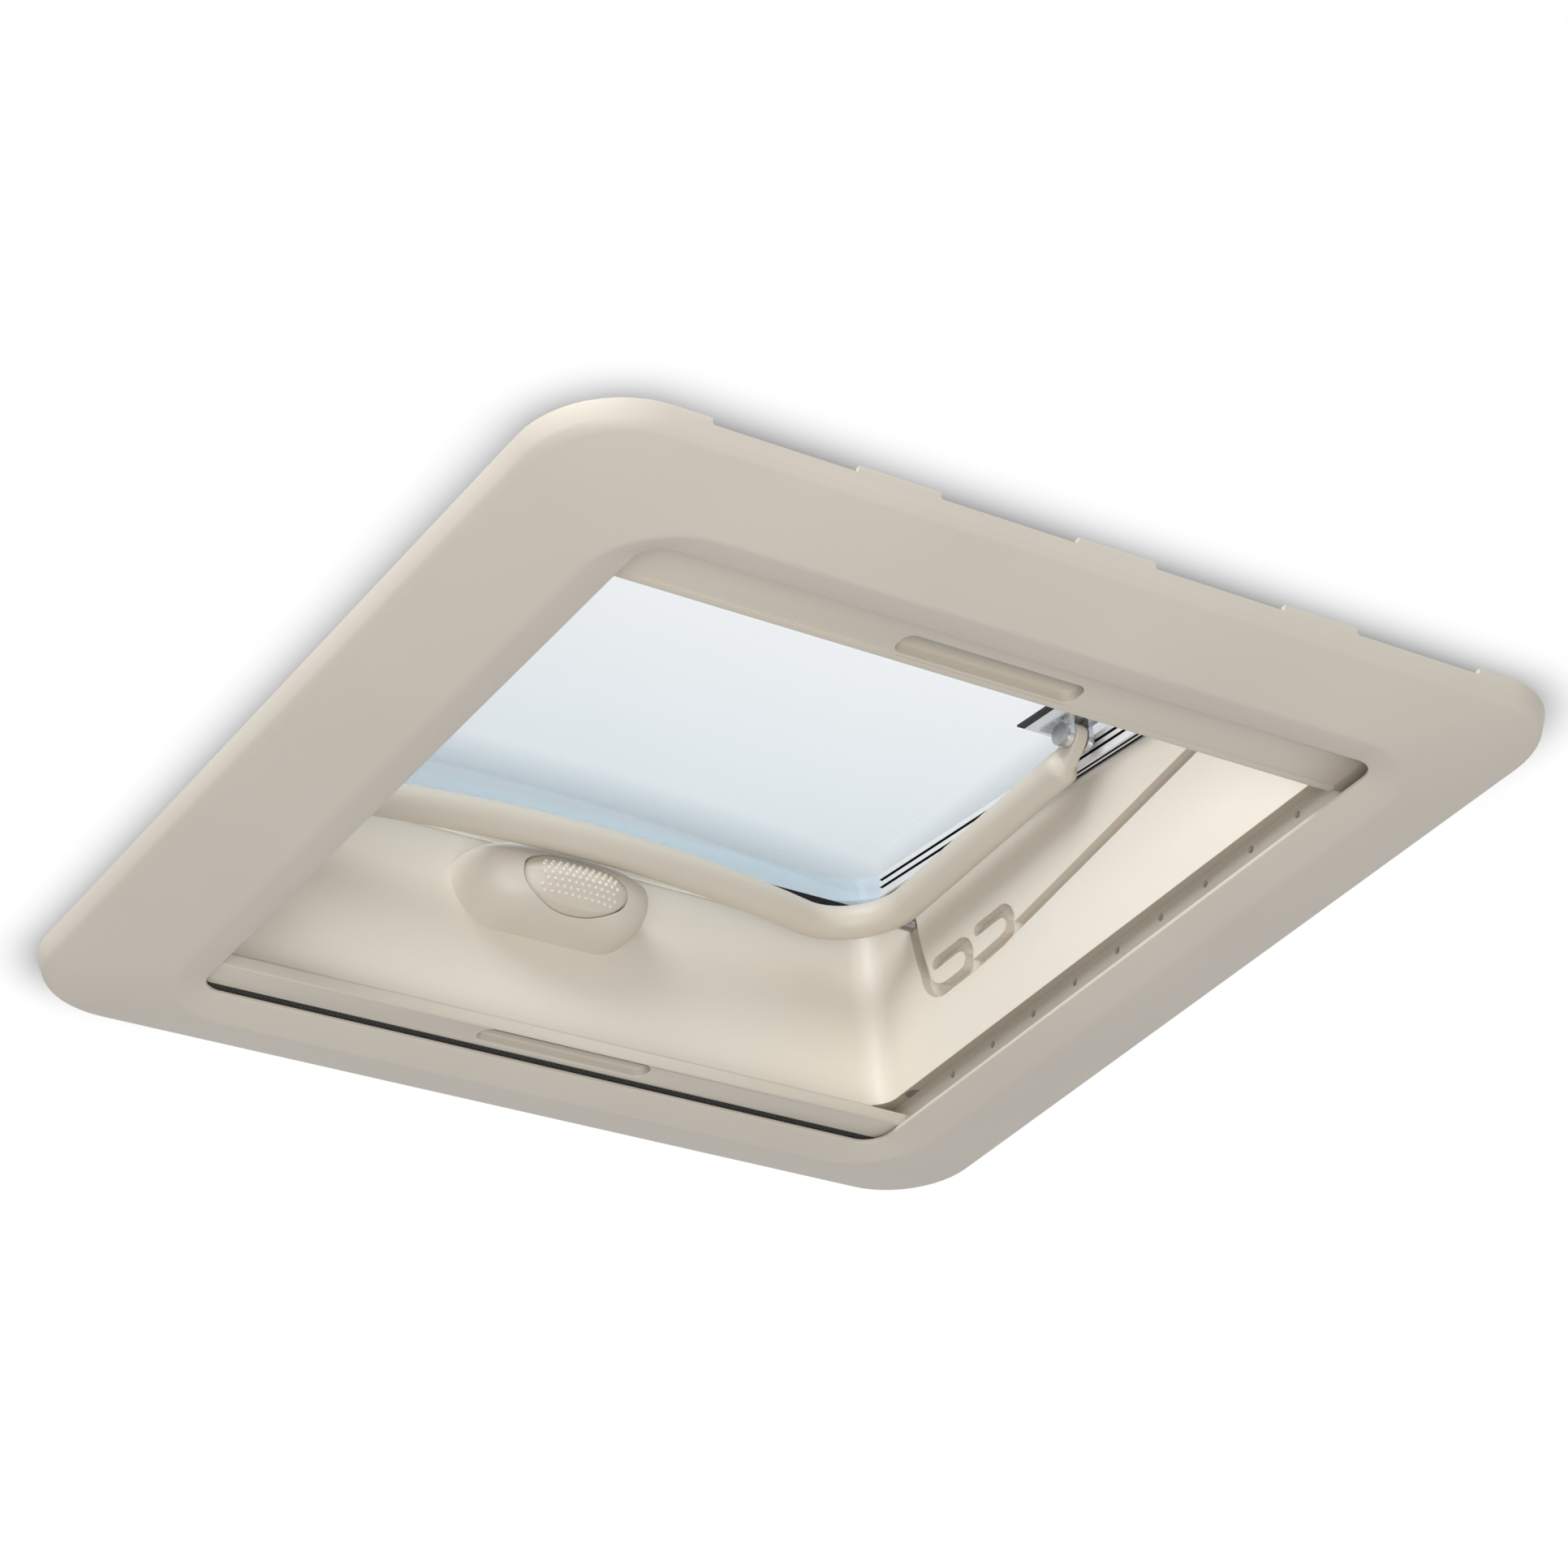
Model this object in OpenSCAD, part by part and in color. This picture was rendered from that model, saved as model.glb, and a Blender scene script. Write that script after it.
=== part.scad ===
// Caravan roof vent: a tilting roof light with a bow-operated lid, two pleated
// blinds in a ceiling trim frame, and an outer frame for a square roof cut-out.
// The trim frame rests on z = 0, the hinge is at -Y and the lock at +Y.

/* [Roof] */
// Side of the square roof cut-out
cut_out = 400; // [360:1:440]
// Gap between the collar and the cut-out on each side
cut_gap = 0.6; // [0.3:0.1:2]
// Roof thickness that the vent is set for
roof_t = 42; // [25:1:46]

/* [Trim frame] */
// Overlap of the trim frame on the ceiling round the cut-out
trim_over = 45; // [40:0.5:60]
// Height of the trim frame below the ceiling
trim_depth = 20.8; // [18:0.1:26]
// Outer corner radius of the trim frame
trim_r = 42; // [30:1:60]
// Height of the trim frame's outer rim
rim_h = 10.2; // [7:0.1:14]
// How far the rim leans in over its height
rim_draft = 3.3; // [1:0.1:6]
// Wall thickness of the trim frame
trim_wall = 2.5; // [1.5:0.1:4]
// How far each side lip stands in front of the shaft's wall
lip_side = 6.9; // [4:0.1:9]
// How far each end lip stands in front of the shaft's wall
lip_end = 0.5; // [0.3:0.1:2]
// Shift of the opening towards the lock
open_y = 2.4; // [0:0.1:3]
// Corner radius of the opening
open_r = 12; // [6:1:20]
// Height of the lip above the lowest ring
lip_h = 4.2; // [3:0.1:6]
// Thickness of the lip
lip_t = 2; // [1.2:0.1:3]
// Width of the bevel between lip and lowest ring
bevel_w = 16.4; // [10:0.1:20]
// Width of the lowest ring
ring_w = 2; // [1:0.1:4]
// Length of a vent notch in the rim on the hinge side
notch_l = 65; // [40:1:80]
// Spacing of the vent notches
notch_pitch = 102.4; // [90:0.1:110]
// Height of a vent notch
notch_h = 2.6; // [1:0.1:5]
// Diameter of the posts that plug into the shaft's flange
post_d = 8; // [5:0.5:10]

/* [Shaft] */
// Gap between the side walls and the collar
wall_gap = 0.7; // [0.4:0.1:2]
// Mean gap between the end walls and the collar
end_gap = 5.3; // [4:0.1:8]
// Inner corner radius of the shaft
shaft_r = 12; // [6:1:20]
// Height of the shaft's lower edge above the ceiling
shaft_gap = 5.4; // [4.5:0.1:8]
// Thickness of the side walls, which hold the groove
side_t = 10.5; // [9.5:0.1:12]
// Thickness of the end walls
end_t = 3; // [2:0.1:4]
// Width of the flange against the ceiling, past the collar
ceil_over = 30.6; // [26:0.1:34]
// Thickness of the flange against the ceiling
ceil_t = 2.5; // [2:0.1:3]
// Width of the groove in the side walls
groove_w = 6.5; // [6:0.1:8]
// Depth of the groove
groove_d = 5.3; // [4:0.1:9]

/* [Roof frame] */
// Thickness of the collar
collar_t = 2.4; // [2:0.1:3]
// Thickness of the roof seal
roof_seal_t = 3; // [2:0.5:4]
// Width of the roof flange, past the collar
roof_over = 32.6; // [28:0.1:36]
// Thickness of the roof flange
roof_flange_t = 4; // [3:0.5:5]
// Thickness of the rim that the lid closes on
seat_t = 3; // [2:0.1:4]
// Height of the lid seal
lid_seal_t = 5; // [3:0.5:6]
// Width of the lid seal
lid_seal_w = 8; // [5:0.5:9]

/* [Lid] */
// Slope of the closed lid, rising to the lock
tilt = 6.1; // [5.6:0.1:6.4]
// Distance of the hinge axis behind the collar
hinge_gap = 12.6; // [11.6:0.1:14]
// Height of the hinge axis above the roof
hinge_rise = 20; // [20:0.5:22]
// Overhang of the square lid past the collar
lid_over = 20.6; // [18.5:0.1:24]
// Overhang of the lid behind the hinge axis
lid_back = 13; // [12:0.5:15]
// Corner radius of the lid
lid_r = 45; // [35:1:55]
// Height of the outer dome's crown above the hinge axis
crown = 58; // [56:1:70]
// Wall thickness of the outer dome
dome_t = 3; // [2:0.1:4]
// Thickness of the inner pane
pane_t = 2.5; // [2:0.1:3]
// Depth of the raised middle of the inner pane
pane_rise = 14; // [13.5:0.1:15]
// Diameter of the hinge pins
hinge_pin_d = 5; // [4:0.5:6]
// Distance of each hinge from the collar's corner
hinge_in = 69.4; // [50:0.1:100]
// Height of the bright side rails
rail_h = 12; // [8:0.5:14]

/* [Bow] */
// Diameter of the bow
bow_d = 16.5; // [14:0.5:17]
// Distance of each leg of the bow from the side wall
leg_gap = 14.8; // [13.3:0.1:18]
// Radius of the bow's corners
bow_r = 34; // [28:1:40]
// Radius of the front bar's inward curve
bar_r = 638; // [500:1:900]
// Distance of the front bar's middle from the lock wall
bow_room = 37.6; // [36:0.1:41]
// Slope of the bow, falling to the lock
bow_drop = 2; // [1:0.1:3]
// Offset of the legs below the pivot
leg_drop = 9.5; // [8:0.5:10]
// Bow pivot, along Y
pivot_y = -3; // [-5:0.5:-2]
// Distance of the bow pivot below the inner pane
pivot_drop = 9.43; // [9.3:0.01:10.4]
// Diameter of the pivot bolts
bolt_d = 6; // [5:0.5:6]
// Distance of the guide studs behind the front bar's middle
stud_back = 1; // [0:0.5:3]

/* [Lock] */
// Width of the lock housing
lock_w = 98; // [90:1:106]
// Reach of the lock housing from the wall
lock_reach = 33; // [29:0.5:34]
// Height of the lock housing
lock_h = 46.5; // [46.5:0.5:49]
// Distance of the lock housing's top below the bow pivot
lock_drop = 3; // [2.5:0.5:5]
// Width of the button
button_w = 54; // [46:1:58]
// Height of the button
button_h = 26; // [22:1:26]
// Travel of the button
button_travel = 4; // [3:0.5:5]

/* [Blinds] */
// Width of the blackout bar
blackout_w = 25; // [20:0.5:26]
// Room for the folded blackout blind
stack_l = 24.4; // [22:0.1:28]
// Width of the flyscreen bar
screen_w = 17; // [14:0.5:18]
// Dark gap between the flyscreen bar and the lip
screen_gap = 2.1; // [1.5:0.1:4]
// Length of a finger scoop
scoop_l = 89; // [70:1:100]
// Spacing of the small holes in the guide rails
dot_pitch = 32.5; // [28:0.1:34]
// Diameter of the small holes in the guide rails
dot_d = 3.4; // [2:0.1:5]

/* [Clearances] */
// Running gap between a pin and its bore, on the radius
pin_gap = 0.05; // [0.02:0.01:0.1]
// Gap between pieces that slide or close on each other
slide_gap = 0.3; // [0.3:0.05:0.5]
// Gap round the button
button_gap = 0.6; // [0.4:0.1:1]

/* [Hidden] */
$fn = 96;
e = 0.05;
zc = trim_depth;
lip_z = lip_h - trim_depth;
floor_z = lip_z + lip_t;
trim_w = cut_out + 2 * trim_over;
collar_w = cut_out - 2 * cut_gap;
collar_in = collar_w / 2 - collar_t;
wall_x = collar_in - wall_gap - side_t;
shaft_w = 2 * wall_x;
shaft_l = 2 * (collar_in - end_gap - end_t);
wall_in = open_y + shaft_l / 2;
open_w = shaft_w - 2 * lip_side;
open_l = shaft_l - 2 * lip_end;
leg_out = wall_x + side_t;
leg_in = leg_out - 2.5;
ceil_w = collar_w + 2 * ceil_over;
roof_w = collar_w + 2 * roof_over;
roof_z = roof_t + roof_seal_t;
hinge_x = collar_w / 2 - hinge_in;
hinge_y = -collar_w / 2 - hinge_gap;
hinge_z = roof_t + hinge_rise;
knuckle = 5.5;
seat_z = 3.7;
seal_z = seat_z + seat_t;
pane_z = seal_z + lid_seal_t + slide_gap;
dome_z = pane_z + pane_t;
ceiling_z = pane_z + pane_rise;
lid_w = collar_w + 2 * lid_over;
lid_c = lid_w / 2 - lid_back;
seat_c = (seat_z * sin(tilt) - hinge_y) / cos(tilt);
tray_c = (pane_z * sin(tilt) + open_y - hinge_y) / cos(tilt);
tray_w = shaft_w + 8.4;
tray_l = shaft_l + 12.6;
frame_lip = 6;
leg_x = wall_x - leg_gap;
bow_reach = wall_in - pivot_y - bow_room;
stud_reach = bow_reach - stud_back;
bow_phi = asin((leg_x - bow_r) / (bar_r + bow_r));
leg_end = bow_reach + bar_r * (1 - cos(bow_phi)) - bow_r * cos(bow_phi);
leg_start = 14;
pivot_lz = ceiling_z - pivot_drop;
pivot_ly = (pivot_lz * sin(tilt) + pivot_y - hinge_y) / cos(tilt);
pivot_z = hinge_z + pivot_ly * sin(tilt) + pivot_lz * cos(tilt);
eye_w = 7.4;
cheek_t = 2.5;
cheek_in = leg_x - eye_w / 2 - slide_gap;
cheek_out = leg_x + eye_w / 2 + slide_gap;
bracket_z = ceiling_z - 2;
pad_t = 0.8;
side_rail_x = tray_w / 2 - 9;
rail_x = wall_x + 5.8;
shoe_x = rail_x - slide_gap;
bar_x = wall_x - 0.8;
screen_h = 6.6;
screen_z = floor_z + 1.1;
screen_y = open_y + open_l / 2 - screen_gap - screen_w;
blackout_h = 7.5;
blackout_z = screen_z + screen_h + 2.4;
blackout_y = stack_l + blackout_w - collar_in;
lock_z1 = pivot_z - lock_drop;
lock_z0 = lock_z1 - lock_h;
lock_screw_x = lock_w / 2 - 11;
button_z = lock_z0 + 15.5;
latch_z = button_z + 18.5;
button_y = wall_in - 39;
button_back = wall_in - 21;
pocket_y = button_back + button_travel + 12;
screw_spots = [[wall_x + 5.4, wall_in - 19.1], [wall_x + 5.4, wall_in - shaft_l + 36.3]];
post_x = (leg_out + ceil_w / 2) / 2;
post_y = (collar_w + ceil_w) / 4;
post_in = ceil_w / 4 + 5;
post_spots = [[post_x, post_in], [post_x, -post_in], [post_in, post_y], [-post_in, post_y]];

trim_frame();
guide_rail_left();
guide_rail_right();
blackout_cassette();
flyscreen_cassette();
blackout_pleats();
flyscreen_pleats();
shaft();
clamp_screws();
roof_frame();
roof_seal();
lid_seal();
hinge_brackets();
hinge_screws();
hinge_pins();
lock_housing();
lock_screws();
lock_spring();
outer_dome();
inner_pane();
edge_frame();
hinge_leaves();
leaf_screws();
side_rail_left();
side_rail_right();
bow_brackets();
bracket_pads();
bow_bolts();
bow_tube();
bow_eyes();
bow_studs();
lock_button();
lock_latch();
blackout_bar();
blackout_shoes();
flyscreen_bar();
flyscreen_shoes();

// Heights in the modules below count from the ceiling
module ceiling() {
  translate([0, 0, zc]) children();
}

// The lid's own frame: the hinge axis is its origin, Y runs along the lid
module on_lid() {
  translate([0, hinge_y, zc + hinge_z]) rotate([tilt, 0, 0]) children();
}

// The bow's own frame, with its pivot as origin
module on_bow() {
  translate([0, pivot_y, zc + pivot_z]) rotate([-bow_drop, 0, 0]) children();
}

module both_sides() {
  children();
  mirror([1, 0, 0]) children();
}

module rounded(w, l, r) {
  square([w - 2 * r, l], center = true);
  square([w, l - 2 * r], center = true);
  for (x = [-1, 1], y = [-1, 1]) translate([x * (w / 2 - r), y * (l / 2 - r)]) circle(r);
}

module slab(w, l, r, z, y = 0) {
  translate([0, y, z]) linear_extrude(e) rounded(w, l, r, $fn = 48);
}

module ring(w, l, r, t) {
  difference() {
    rounded(w, l, r);
    rounded(w - 2 * t, l - 2 * t, r - t);
  }
}

module box(x0, x1, y0, y1, z0, z1) {
  translate([x0, y0, z0]) cube([x1 - x0, y1 - y0, z1 - z0]);
}

// A round bar along X between two places
module rod(x0, x1, y, z, d) {
  translate([x0, y, z]) rotate([0, 90, 0]) cylinder(h = x1 - x0, d = d);
}

// A straight run in the plane, between two points
module run(a, b, w) {
  v = b - a;
  translate(a) rotate(atan2(v[1], v[0])) translate([0, -w / 2]) square([norm(v), w]);
}

// A round bend in the plane, the part of a ring between two corners seen from its middle
module bend(c, r, low, high, w) translate(c) intersection() {
  difference() {
    circle(r + w / 2);
    circle(r - w / 2);
  }
  translate(low) square(high - low);
}

// What lies above a height over the closed lid's seat
module above_seat(h) {
  on_lid() box(-trim_w, trim_w, -trim_w, 2 * trim_w, h, trim_w);
}

module shaft_hole(z0, z1) {
  translate([0, open_y, zc + z0]) linear_extrude(z1 - z0) rounded(shaft_w, shaft_l, shaft_r);
}

module trim_frame() color("#d8cfc2") ceiling() difference() {
  union() {
    difference() {
      hull() {
        slab(trim_w, trim_w, trim_r, -e);
        slab(trim_w - 2 * rim_draft, trim_w - 2 * rim_draft, trim_r - rim_draft, -rim_h);
        slab(open_w + 2 * (bevel_w + ring_w), open_l + 2 * (bevel_w + ring_w), 40, -zc, open_y);
      }
      trim_hollow();
    }
    for (p = post_spots, s = [1, -1]) translate([p[0] * s, p[1] * s, floor_z - 0.5])
      cylinder(h = 0.2 - floor_z, d = post_d);
  }
  hull() {
    slab(open_w + 2 * bevel_w, open_l + 2 * bevel_w, 38, -zc - e, open_y);
    slab(open_w, open_l, open_r, lip_z, open_y);
  }
  translate([0, open_y, -zc]) linear_extrude(zc + 1) rounded(open_w, open_l, open_r);
  for (i = [-1.5:1:1.5]) translate([i * notch_pitch - notch_l / 2, -trim_w / 2 - 1, -notch_h])
    cube([notch_l, 2 * trim_wall + 1, notch_h + 1]);
}

module trim_hollow() hull() {
  w = trim_w - 2 * trim_wall;
  slab(w, w, trim_r - trim_wall, 0);
  slab(w - 2 * rim_draft, w - 2 * rim_draft, trim_r - rim_draft - trim_wall, 1.4 - rim_h);
  slab(open_w + 44.2, open_l + 38.6, 10, floor_z, open_y);
}

module guide_rail() difference() {
  box(rail_x, leg_in, 0.2 - collar_in, collar_in - 0.2, floor_z, shaft_gap);
  for (i = [0:9]) rod(rail_x - 1, leg_in + 1, wall_in - 50.1 - i * dot_pitch, 1, dot_d);
}

module guide_rail_right() color("#8f887c") ceiling() guide_rail();

module guide_rail_left() color("#8f887c") ceiling() mirror([1, 0, 0]) guide_rail();

module blackout_cassette() color("#c9c0b4") ceiling() {
  y0 = 0.2 - collar_in;
  y1 = blackout_y - blackout_w - 0.4;
  z0 = blackout_z - 1.8;
  box(-rail_x, rail_x, y0, y0 + 1.5, z0, shaft_gap);
  box(-rail_x, rail_x, y0, y1, shaft_gap - 1.2, shaft_gap);
  box(-rail_x, rail_x, y0, y1, z0, z0 + 1.2);
}

module flyscreen_cassette() color("#d8cfc2") ceiling() {
  y0 = screen_y + screen_w + 0.7;
  y1 = wall_in + 18.4;
  z0 = screen_z + screen_h + 0.5;
  box(-rail_x, rail_x, y0 + 4, y1, floor_z, floor_z + 0.8);
  box(-rail_x, rail_x, y1 - 1.4, y1, floor_z, z0 + 1.2);
  box(-rail_x, rail_x, y0, y1, z0, z0 + 1.2);
  box(-rail_x, rail_x, wall_in - 1.1, wall_in + 0.5, z0, shaft_gap);
}

module blackout_pleats() color("#b9b2a6") ceiling()
  box(-bar_x, bar_x, 2 - collar_in, blackout_y - blackout_w, blackout_z + 0.1, blackout_z + blackout_h - 0.1);

module flyscreen_pleats() color("#4a4a48") ceiling()
  box(-bar_x, bar_x, screen_y + screen_w, wall_in + 16.7, screen_z + 0.1, screen_z + screen_h - 0.1);

module shaft() color("#e9e1d4") difference() {
  union() {
    difference() {
      ceiling() translate([0, open_y, shaft_gap]) linear_extrude(140)
        rounded(shaft_w + 2 * side_t, shaft_l + 2 * end_t, shaft_r + end_t);
      above_seat(seat_z);
    }
    ceiling() box(-leg_out, leg_out, -collar_w / 2, collar_w / 2, shaft_gap, shaft_gap + 2.5);
    ceiling() box(-leg_out, leg_out, -collar_w / 2, collar_w / 2, -ceil_t, shaft_gap);
    ceiling() translate([0, 0, -ceil_t]) linear_extrude(ceil_t) rounded(ceil_w, ceil_w, 45);
  }
  shaft_hole(shaft_gap - 1, 150);
  ceiling() box(-leg_in, leg_in, -collar_in, collar_in, -ceil_t - 1, shaft_gap);
  ceiling() both_sides() translate([wall_x - 1, 0, 0]) rotate([90, 0, 90])
    linear_extrude(groove_d + 1) groove_path();
  ceiling() both_sides() for (p = screw_spots) translate([p[0], p[1], shaft_gap - 1]) {
    cylinder(h = 140, d = 4 + 2 * pin_gap);
    cylinder(h = 4.5, d = 8.4);
  }
  ceiling() for (x = [-lock_screw_x, lock_screw_x]) translate([x, wall_in - 1, button_z]) rotate([-90, 0, 0])
    cylinder(h = end_t + 2, d = 4 + 2 * pin_gap);
  ceiling() for (p = post_spots, s = [1, -1]) translate([p[0] * s, p[1] * s, -ceil_t - 1])
    cylinder(h = ceil_t + 2, d = post_d + 4 * pin_gap);
}

// The winding groove, drawn round the bow pivot: entry, two hooks that hold the lid ajar, long run
module groove_path() translate([pivot_y, pivot_z]) {
  w = groove_w;
  s = stud_reach;
  reach = norm([s, leg_drop]);
  intersection() {
    difference() {
      circle(reach + w / 2, $fn = 240);
      circle(reach - w / 2, $fn = 240);
    }
    polygon([[0, 0], [1.4 * s, -0.09 * s], [1.4 * s, -0.423 * s]]);
  }
  bend([s - 21.5, -43.5], 15.5, [-0.6, -20], [20, 0], w + 0.4);
  run([s - 21, -59], [s - 46, -59], w);
  bend([s - 33.5, -51], 8, [-12, -12], [0.6, 12], w + 0.4);
  run([s - 33.8, -43], [s - 15.5, -43], w);
  run([s - 45, -59], [s - 68.5, -57.6], w);
  bend([s - 67.5, -50], 7.5, [-12, -12], [0.6, 12], w + 0.4);
  run([s - 67.8, -42.5], [s - 50, -42.5], w);
  run([s - 70, -57.1], [s - 244.5, -34], w);
  for (p = [[s - 15.5, -43], [s - 50, -42.5]]) translate(p) circle(d = w);
  for (p = [[s - 45, -59], [s - 68, -57.4], [s - 244.5, -34]]) translate(p) circle(d = w + 0.5);
}

module clamp_screws() color("#9c9c9c") ceiling() both_sides() for (p = screw_spots) {
  top = hinge_z + (p[1] - hinge_y) * tan(tilt) + seat_z / cos(tilt);
  translate([p[0], p[1], shaft_gap]) cylinder(h = 3.5, d = 8);
  translate([p[0], p[1], shaft_gap]) cylinder(h = top + 2 - shaft_gap, d = 4);
}

module roof_frame() color("#e4dccf") difference() {
  union() {
    difference() {
      ceiling() translate([0, 0, 12]) linear_extrude(140) ring(collar_w, collar_w, 18, collar_t);
      above_seat(seat_z);
    }
    ceiling() translate([0, 0, roof_z]) linear_extrude(roof_flange_t)
      ring(roof_w, roof_w, 40, (roof_w - collar_w) / 2 + 0.5);
    on_lid() translate([0, seat_c, seat_z]) linear_extrude(seat_t)
      rounded(collar_w + 9.2, collar_w / cos(tilt) + 4, 20);
  }
  shaft_hole(shaft_gap, 150);
  ceiling() both_sides() for (p = screw_spots) translate([p[0], p[1], hinge_z - 12])
    cylinder(h = 15.5 + (p[1] - hinge_y) * tan(tilt) + 3, d = 4 + 2 * pin_gap);
  ceiling() hinge_screw_spots() translate([0, 0, roof_z - 1]) cylinder(h = 8, d = 4 + 2 * pin_gap);
}

module roof_seal() color("#2b2b2b") ceiling() translate([0, 0, roof_t]) linear_extrude(roof_seal_t)
  ring(roof_w - 4, roof_w - 4, 38, 26);

module lid_seal() color("#222222") on_lid() translate([0, seat_c, seal_z]) linear_extrude(lid_seal_t)
  ring(collar_w + 3.2, collar_w + 3.2, 22, lid_seal_w);

module hinge_screw_spots() {
  for (x = [-hinge_x, hinge_x], s = [-27, 27]) translate([x + s, hinge_y - 2, 0]) children();
}

module hinge_brackets() color("#c9c9c6") ceiling() for (x = [-hinge_x, hinge_x]) difference() {
  union() {
    box(x - 33, x + 33, hinge_y - 12, hinge_y + 8, roof_z + roof_flange_t, roof_z + roof_flange_t + 3);
    for (s = [-1, 1]) {
      box(x + s * 16 - 6, x + s * 16 + 6, hinge_y - knuckle, hinge_y + knuckle,
        roof_z + roof_flange_t + 1, hinge_z);
      rod(x + s * 16 - 6, x + s * 16 + 6, hinge_y, hinge_z, 2 * knuckle);
    }
  }
  rod(x - 40, x + 40, hinge_y, hinge_z, hinge_pin_d + 2 * pin_gap);
  hinge_screw_spots() translate([0, 0, roof_z]) cylinder(h = 12, d = 4 + 2 * pin_gap);
}

module hinge_screws() color("#b5b5b5") ceiling() hinge_screw_spots() {
  translate([0, 0, roof_z + roof_flange_t + 3]) cylinder(h = 2.4, d = 7);
  translate([0, 0, roof_z + 0.2]) cylinder(h = roof_flange_t + 4, d = 4);
}

module hinge_pins() color("#a8a8a8") ceiling() for (x = [-hinge_x, hinge_x]) {
  rod(x - 24, x + 23, hinge_y, hinge_z, hinge_pin_d);
  rod(x + 22, x + 24, hinge_y, hinge_z, hinge_pin_d + 3);
}

// The button's outline, in X and Z, round its own middle
module button_shape(gap) {
  h = button_h + 2 * gap;
  square([button_w - button_h, h], center = true);
  for (s = [-1, 1]) translate([s * (button_w - button_h) / 2, 0]) circle(d = h);
}

module button_prism(gap, y0, y1) {
  translate([0, y1, button_z]) rotate([90, 0, 0]) linear_extrude(y1 - y0) button_shape(gap);
}

module lock_housing() color("#e4dbcd") ceiling() difference() {
  lock_body();
  button_prism(button_gap, wall_in - 60, pocket_y);
  box(-12, 12, wall_in - 31, button_back + button_travel + 2, button_z, latch_z + 2);
  for (x = [-lock_screw_x, lock_screw_x]) translate([x, wall_in - 12, button_z]) rotate([-90, 0, 0])
    cylinder(h = 20, d = 4 + 2 * pin_gap);
}

// A pod on the wall: blunt in plan, flat below, pointed at its ends, leaning back under the bow
module lock_body() intersection() {
  w = lock_w / 2 + 0.1;
  rise = 18;
  arch = (w * w + rise * rise) / (2 * rise);
  translate([0, wall_in, lock_z0 - 1]) linear_extrude(lock_h + 2) rounded(lock_w, 2 * lock_reach + 0.2, 20);
  translate([0, wall_in, lock_z0 - 0.1]) rotate([90, 0, 0]) linear_extrude(lock_reach + 1) intersection() {
    union() {
      translate([-w, 25]) square([2 * w, lock_h]);
      translate([25 - w, 0]) square([2 * w - 50, lock_h]);
      for (x = [25 - w, w - 25]) translate([x, 25]) circle(25);
    }
    translate([0, lock_h - arch]) circle(arch);
  }
  translate([0, wall_in, lock_z0]) rotate([90, 0, -90]) translate([0, 0, -lock_w]) linear_extrude(2 * lock_w) {
    r = lock_reach;
    polygon([[-1, 0], [r - 10, 0], [r - 10, 10], [r, 10], [r, lock_h - 28], [r - 4.5, lock_h - 17],
      [r - 11, lock_h - 6], [r - 21, lock_h], [-1, lock_h]]);
    translate([r - 10, 10]) circle(10);
  }
}

module lock_screws() color("#9c9c9c") ceiling() for (x = [-lock_screw_x, lock_screw_x]) {
  translate([x, wall_in - 11, button_z]) rotate([-90, 0, 0]) cylinder(h = 11 + end_t + 0.5, d = 4);
  translate([x, wall_in + end_t, button_z]) rotate([-90, 0, 0]) cylinder(h = 2, d = 7);
}

// A sleeve with raised turns between the button and the pocket's floor
module lock_spring() color("#8a8a8a") ceiling() translate([0, button_back, button_z]) rotate([-90, 0, 0]) {
  n = 6;
  h = pocket_y - button_back;
  cylinder(h = h, d = 8);
  for (i = [0:n - 1]) translate([0, 0, (i + 0.5) * h / n])
    rotate_extrude() translate([4, 0]) circle(d = 1.6, $fn = 24);
}

module lock_button() color("#ded5c7") ceiling() difference() {
  button_prism(0, button_y, button_back);
  translate([-50, button_y, button_z + 2.5]) rotate([-41, 0, 0]) translate([0, -40, 0]) cube([100, 40, 60]);
  translate([-50, button_y, button_z - 2]) rotate([40, 0, 0]) translate([0, -40, -60]) cube([100, 40, 60]);
}

module lock_latch() color("#b9b9b6") ceiling() {
  z0 = button_z + button_h / 2;
  difference() {
    box(-11, 11, button_back - 5, button_back, z0, latch_z);
    translate([-20, button_back - 5, latch_z - 3]) rotate([45, 0, 0]) cube([40, 10, 10]);
  }
}

module outer_dome() color("#dfe9ec") on_lid() {
  r = (pow(lid_w / 2, 2) + pow(16, 2)) / 32;
  difference() {
    intersection() {
      translate([0, lid_c, dome_z]) linear_extrude(80) rounded(lid_w, lid_w, lid_r);
      translate([0, lid_c, crown - r]) sphere(r, $fn = 400);
    }
    intersection() {
      translate([0, lid_c, dome_z + 2.5]) linear_extrude(80)
        rounded(lid_w - 2 * dome_t, lid_w - 2 * dome_t, lid_r - dome_t);
      translate([0, lid_c, crown - r]) sphere(r - dome_t, $fn = 400);
    }
    translate([0, tray_c, dome_z - 1]) linear_extrude(5)
      rounded(tray_w + 4 * pane_t, tray_l + 4 * pane_t, 30);
  }
}

module inner_pane() color("#d7e6ec") on_lid() difference() {
  union() {
    translate([0, lid_c, pane_z]) linear_extrude(pane_t)
      rounded(lid_w - 2 * frame_lip, lid_w - 2 * frame_lip, lid_r - frame_lip);
    translate([0, tray_c, pane_z]) linear_extrude(pane_rise + pane_t)
      rounded(tray_w + 2 * pane_t, tray_l + 2 * pane_t, 26);
  }
  translate([0, tray_c, pane_z - 1]) linear_extrude(pane_rise + 1) rounded(tray_w, tray_l, 26 - pane_t);
  leaf_screw_spots() translate([0, 0, pane_z - 1]) cylinder(h = pane_t + 2, d = 4 + 2 * pin_gap);
}

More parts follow.
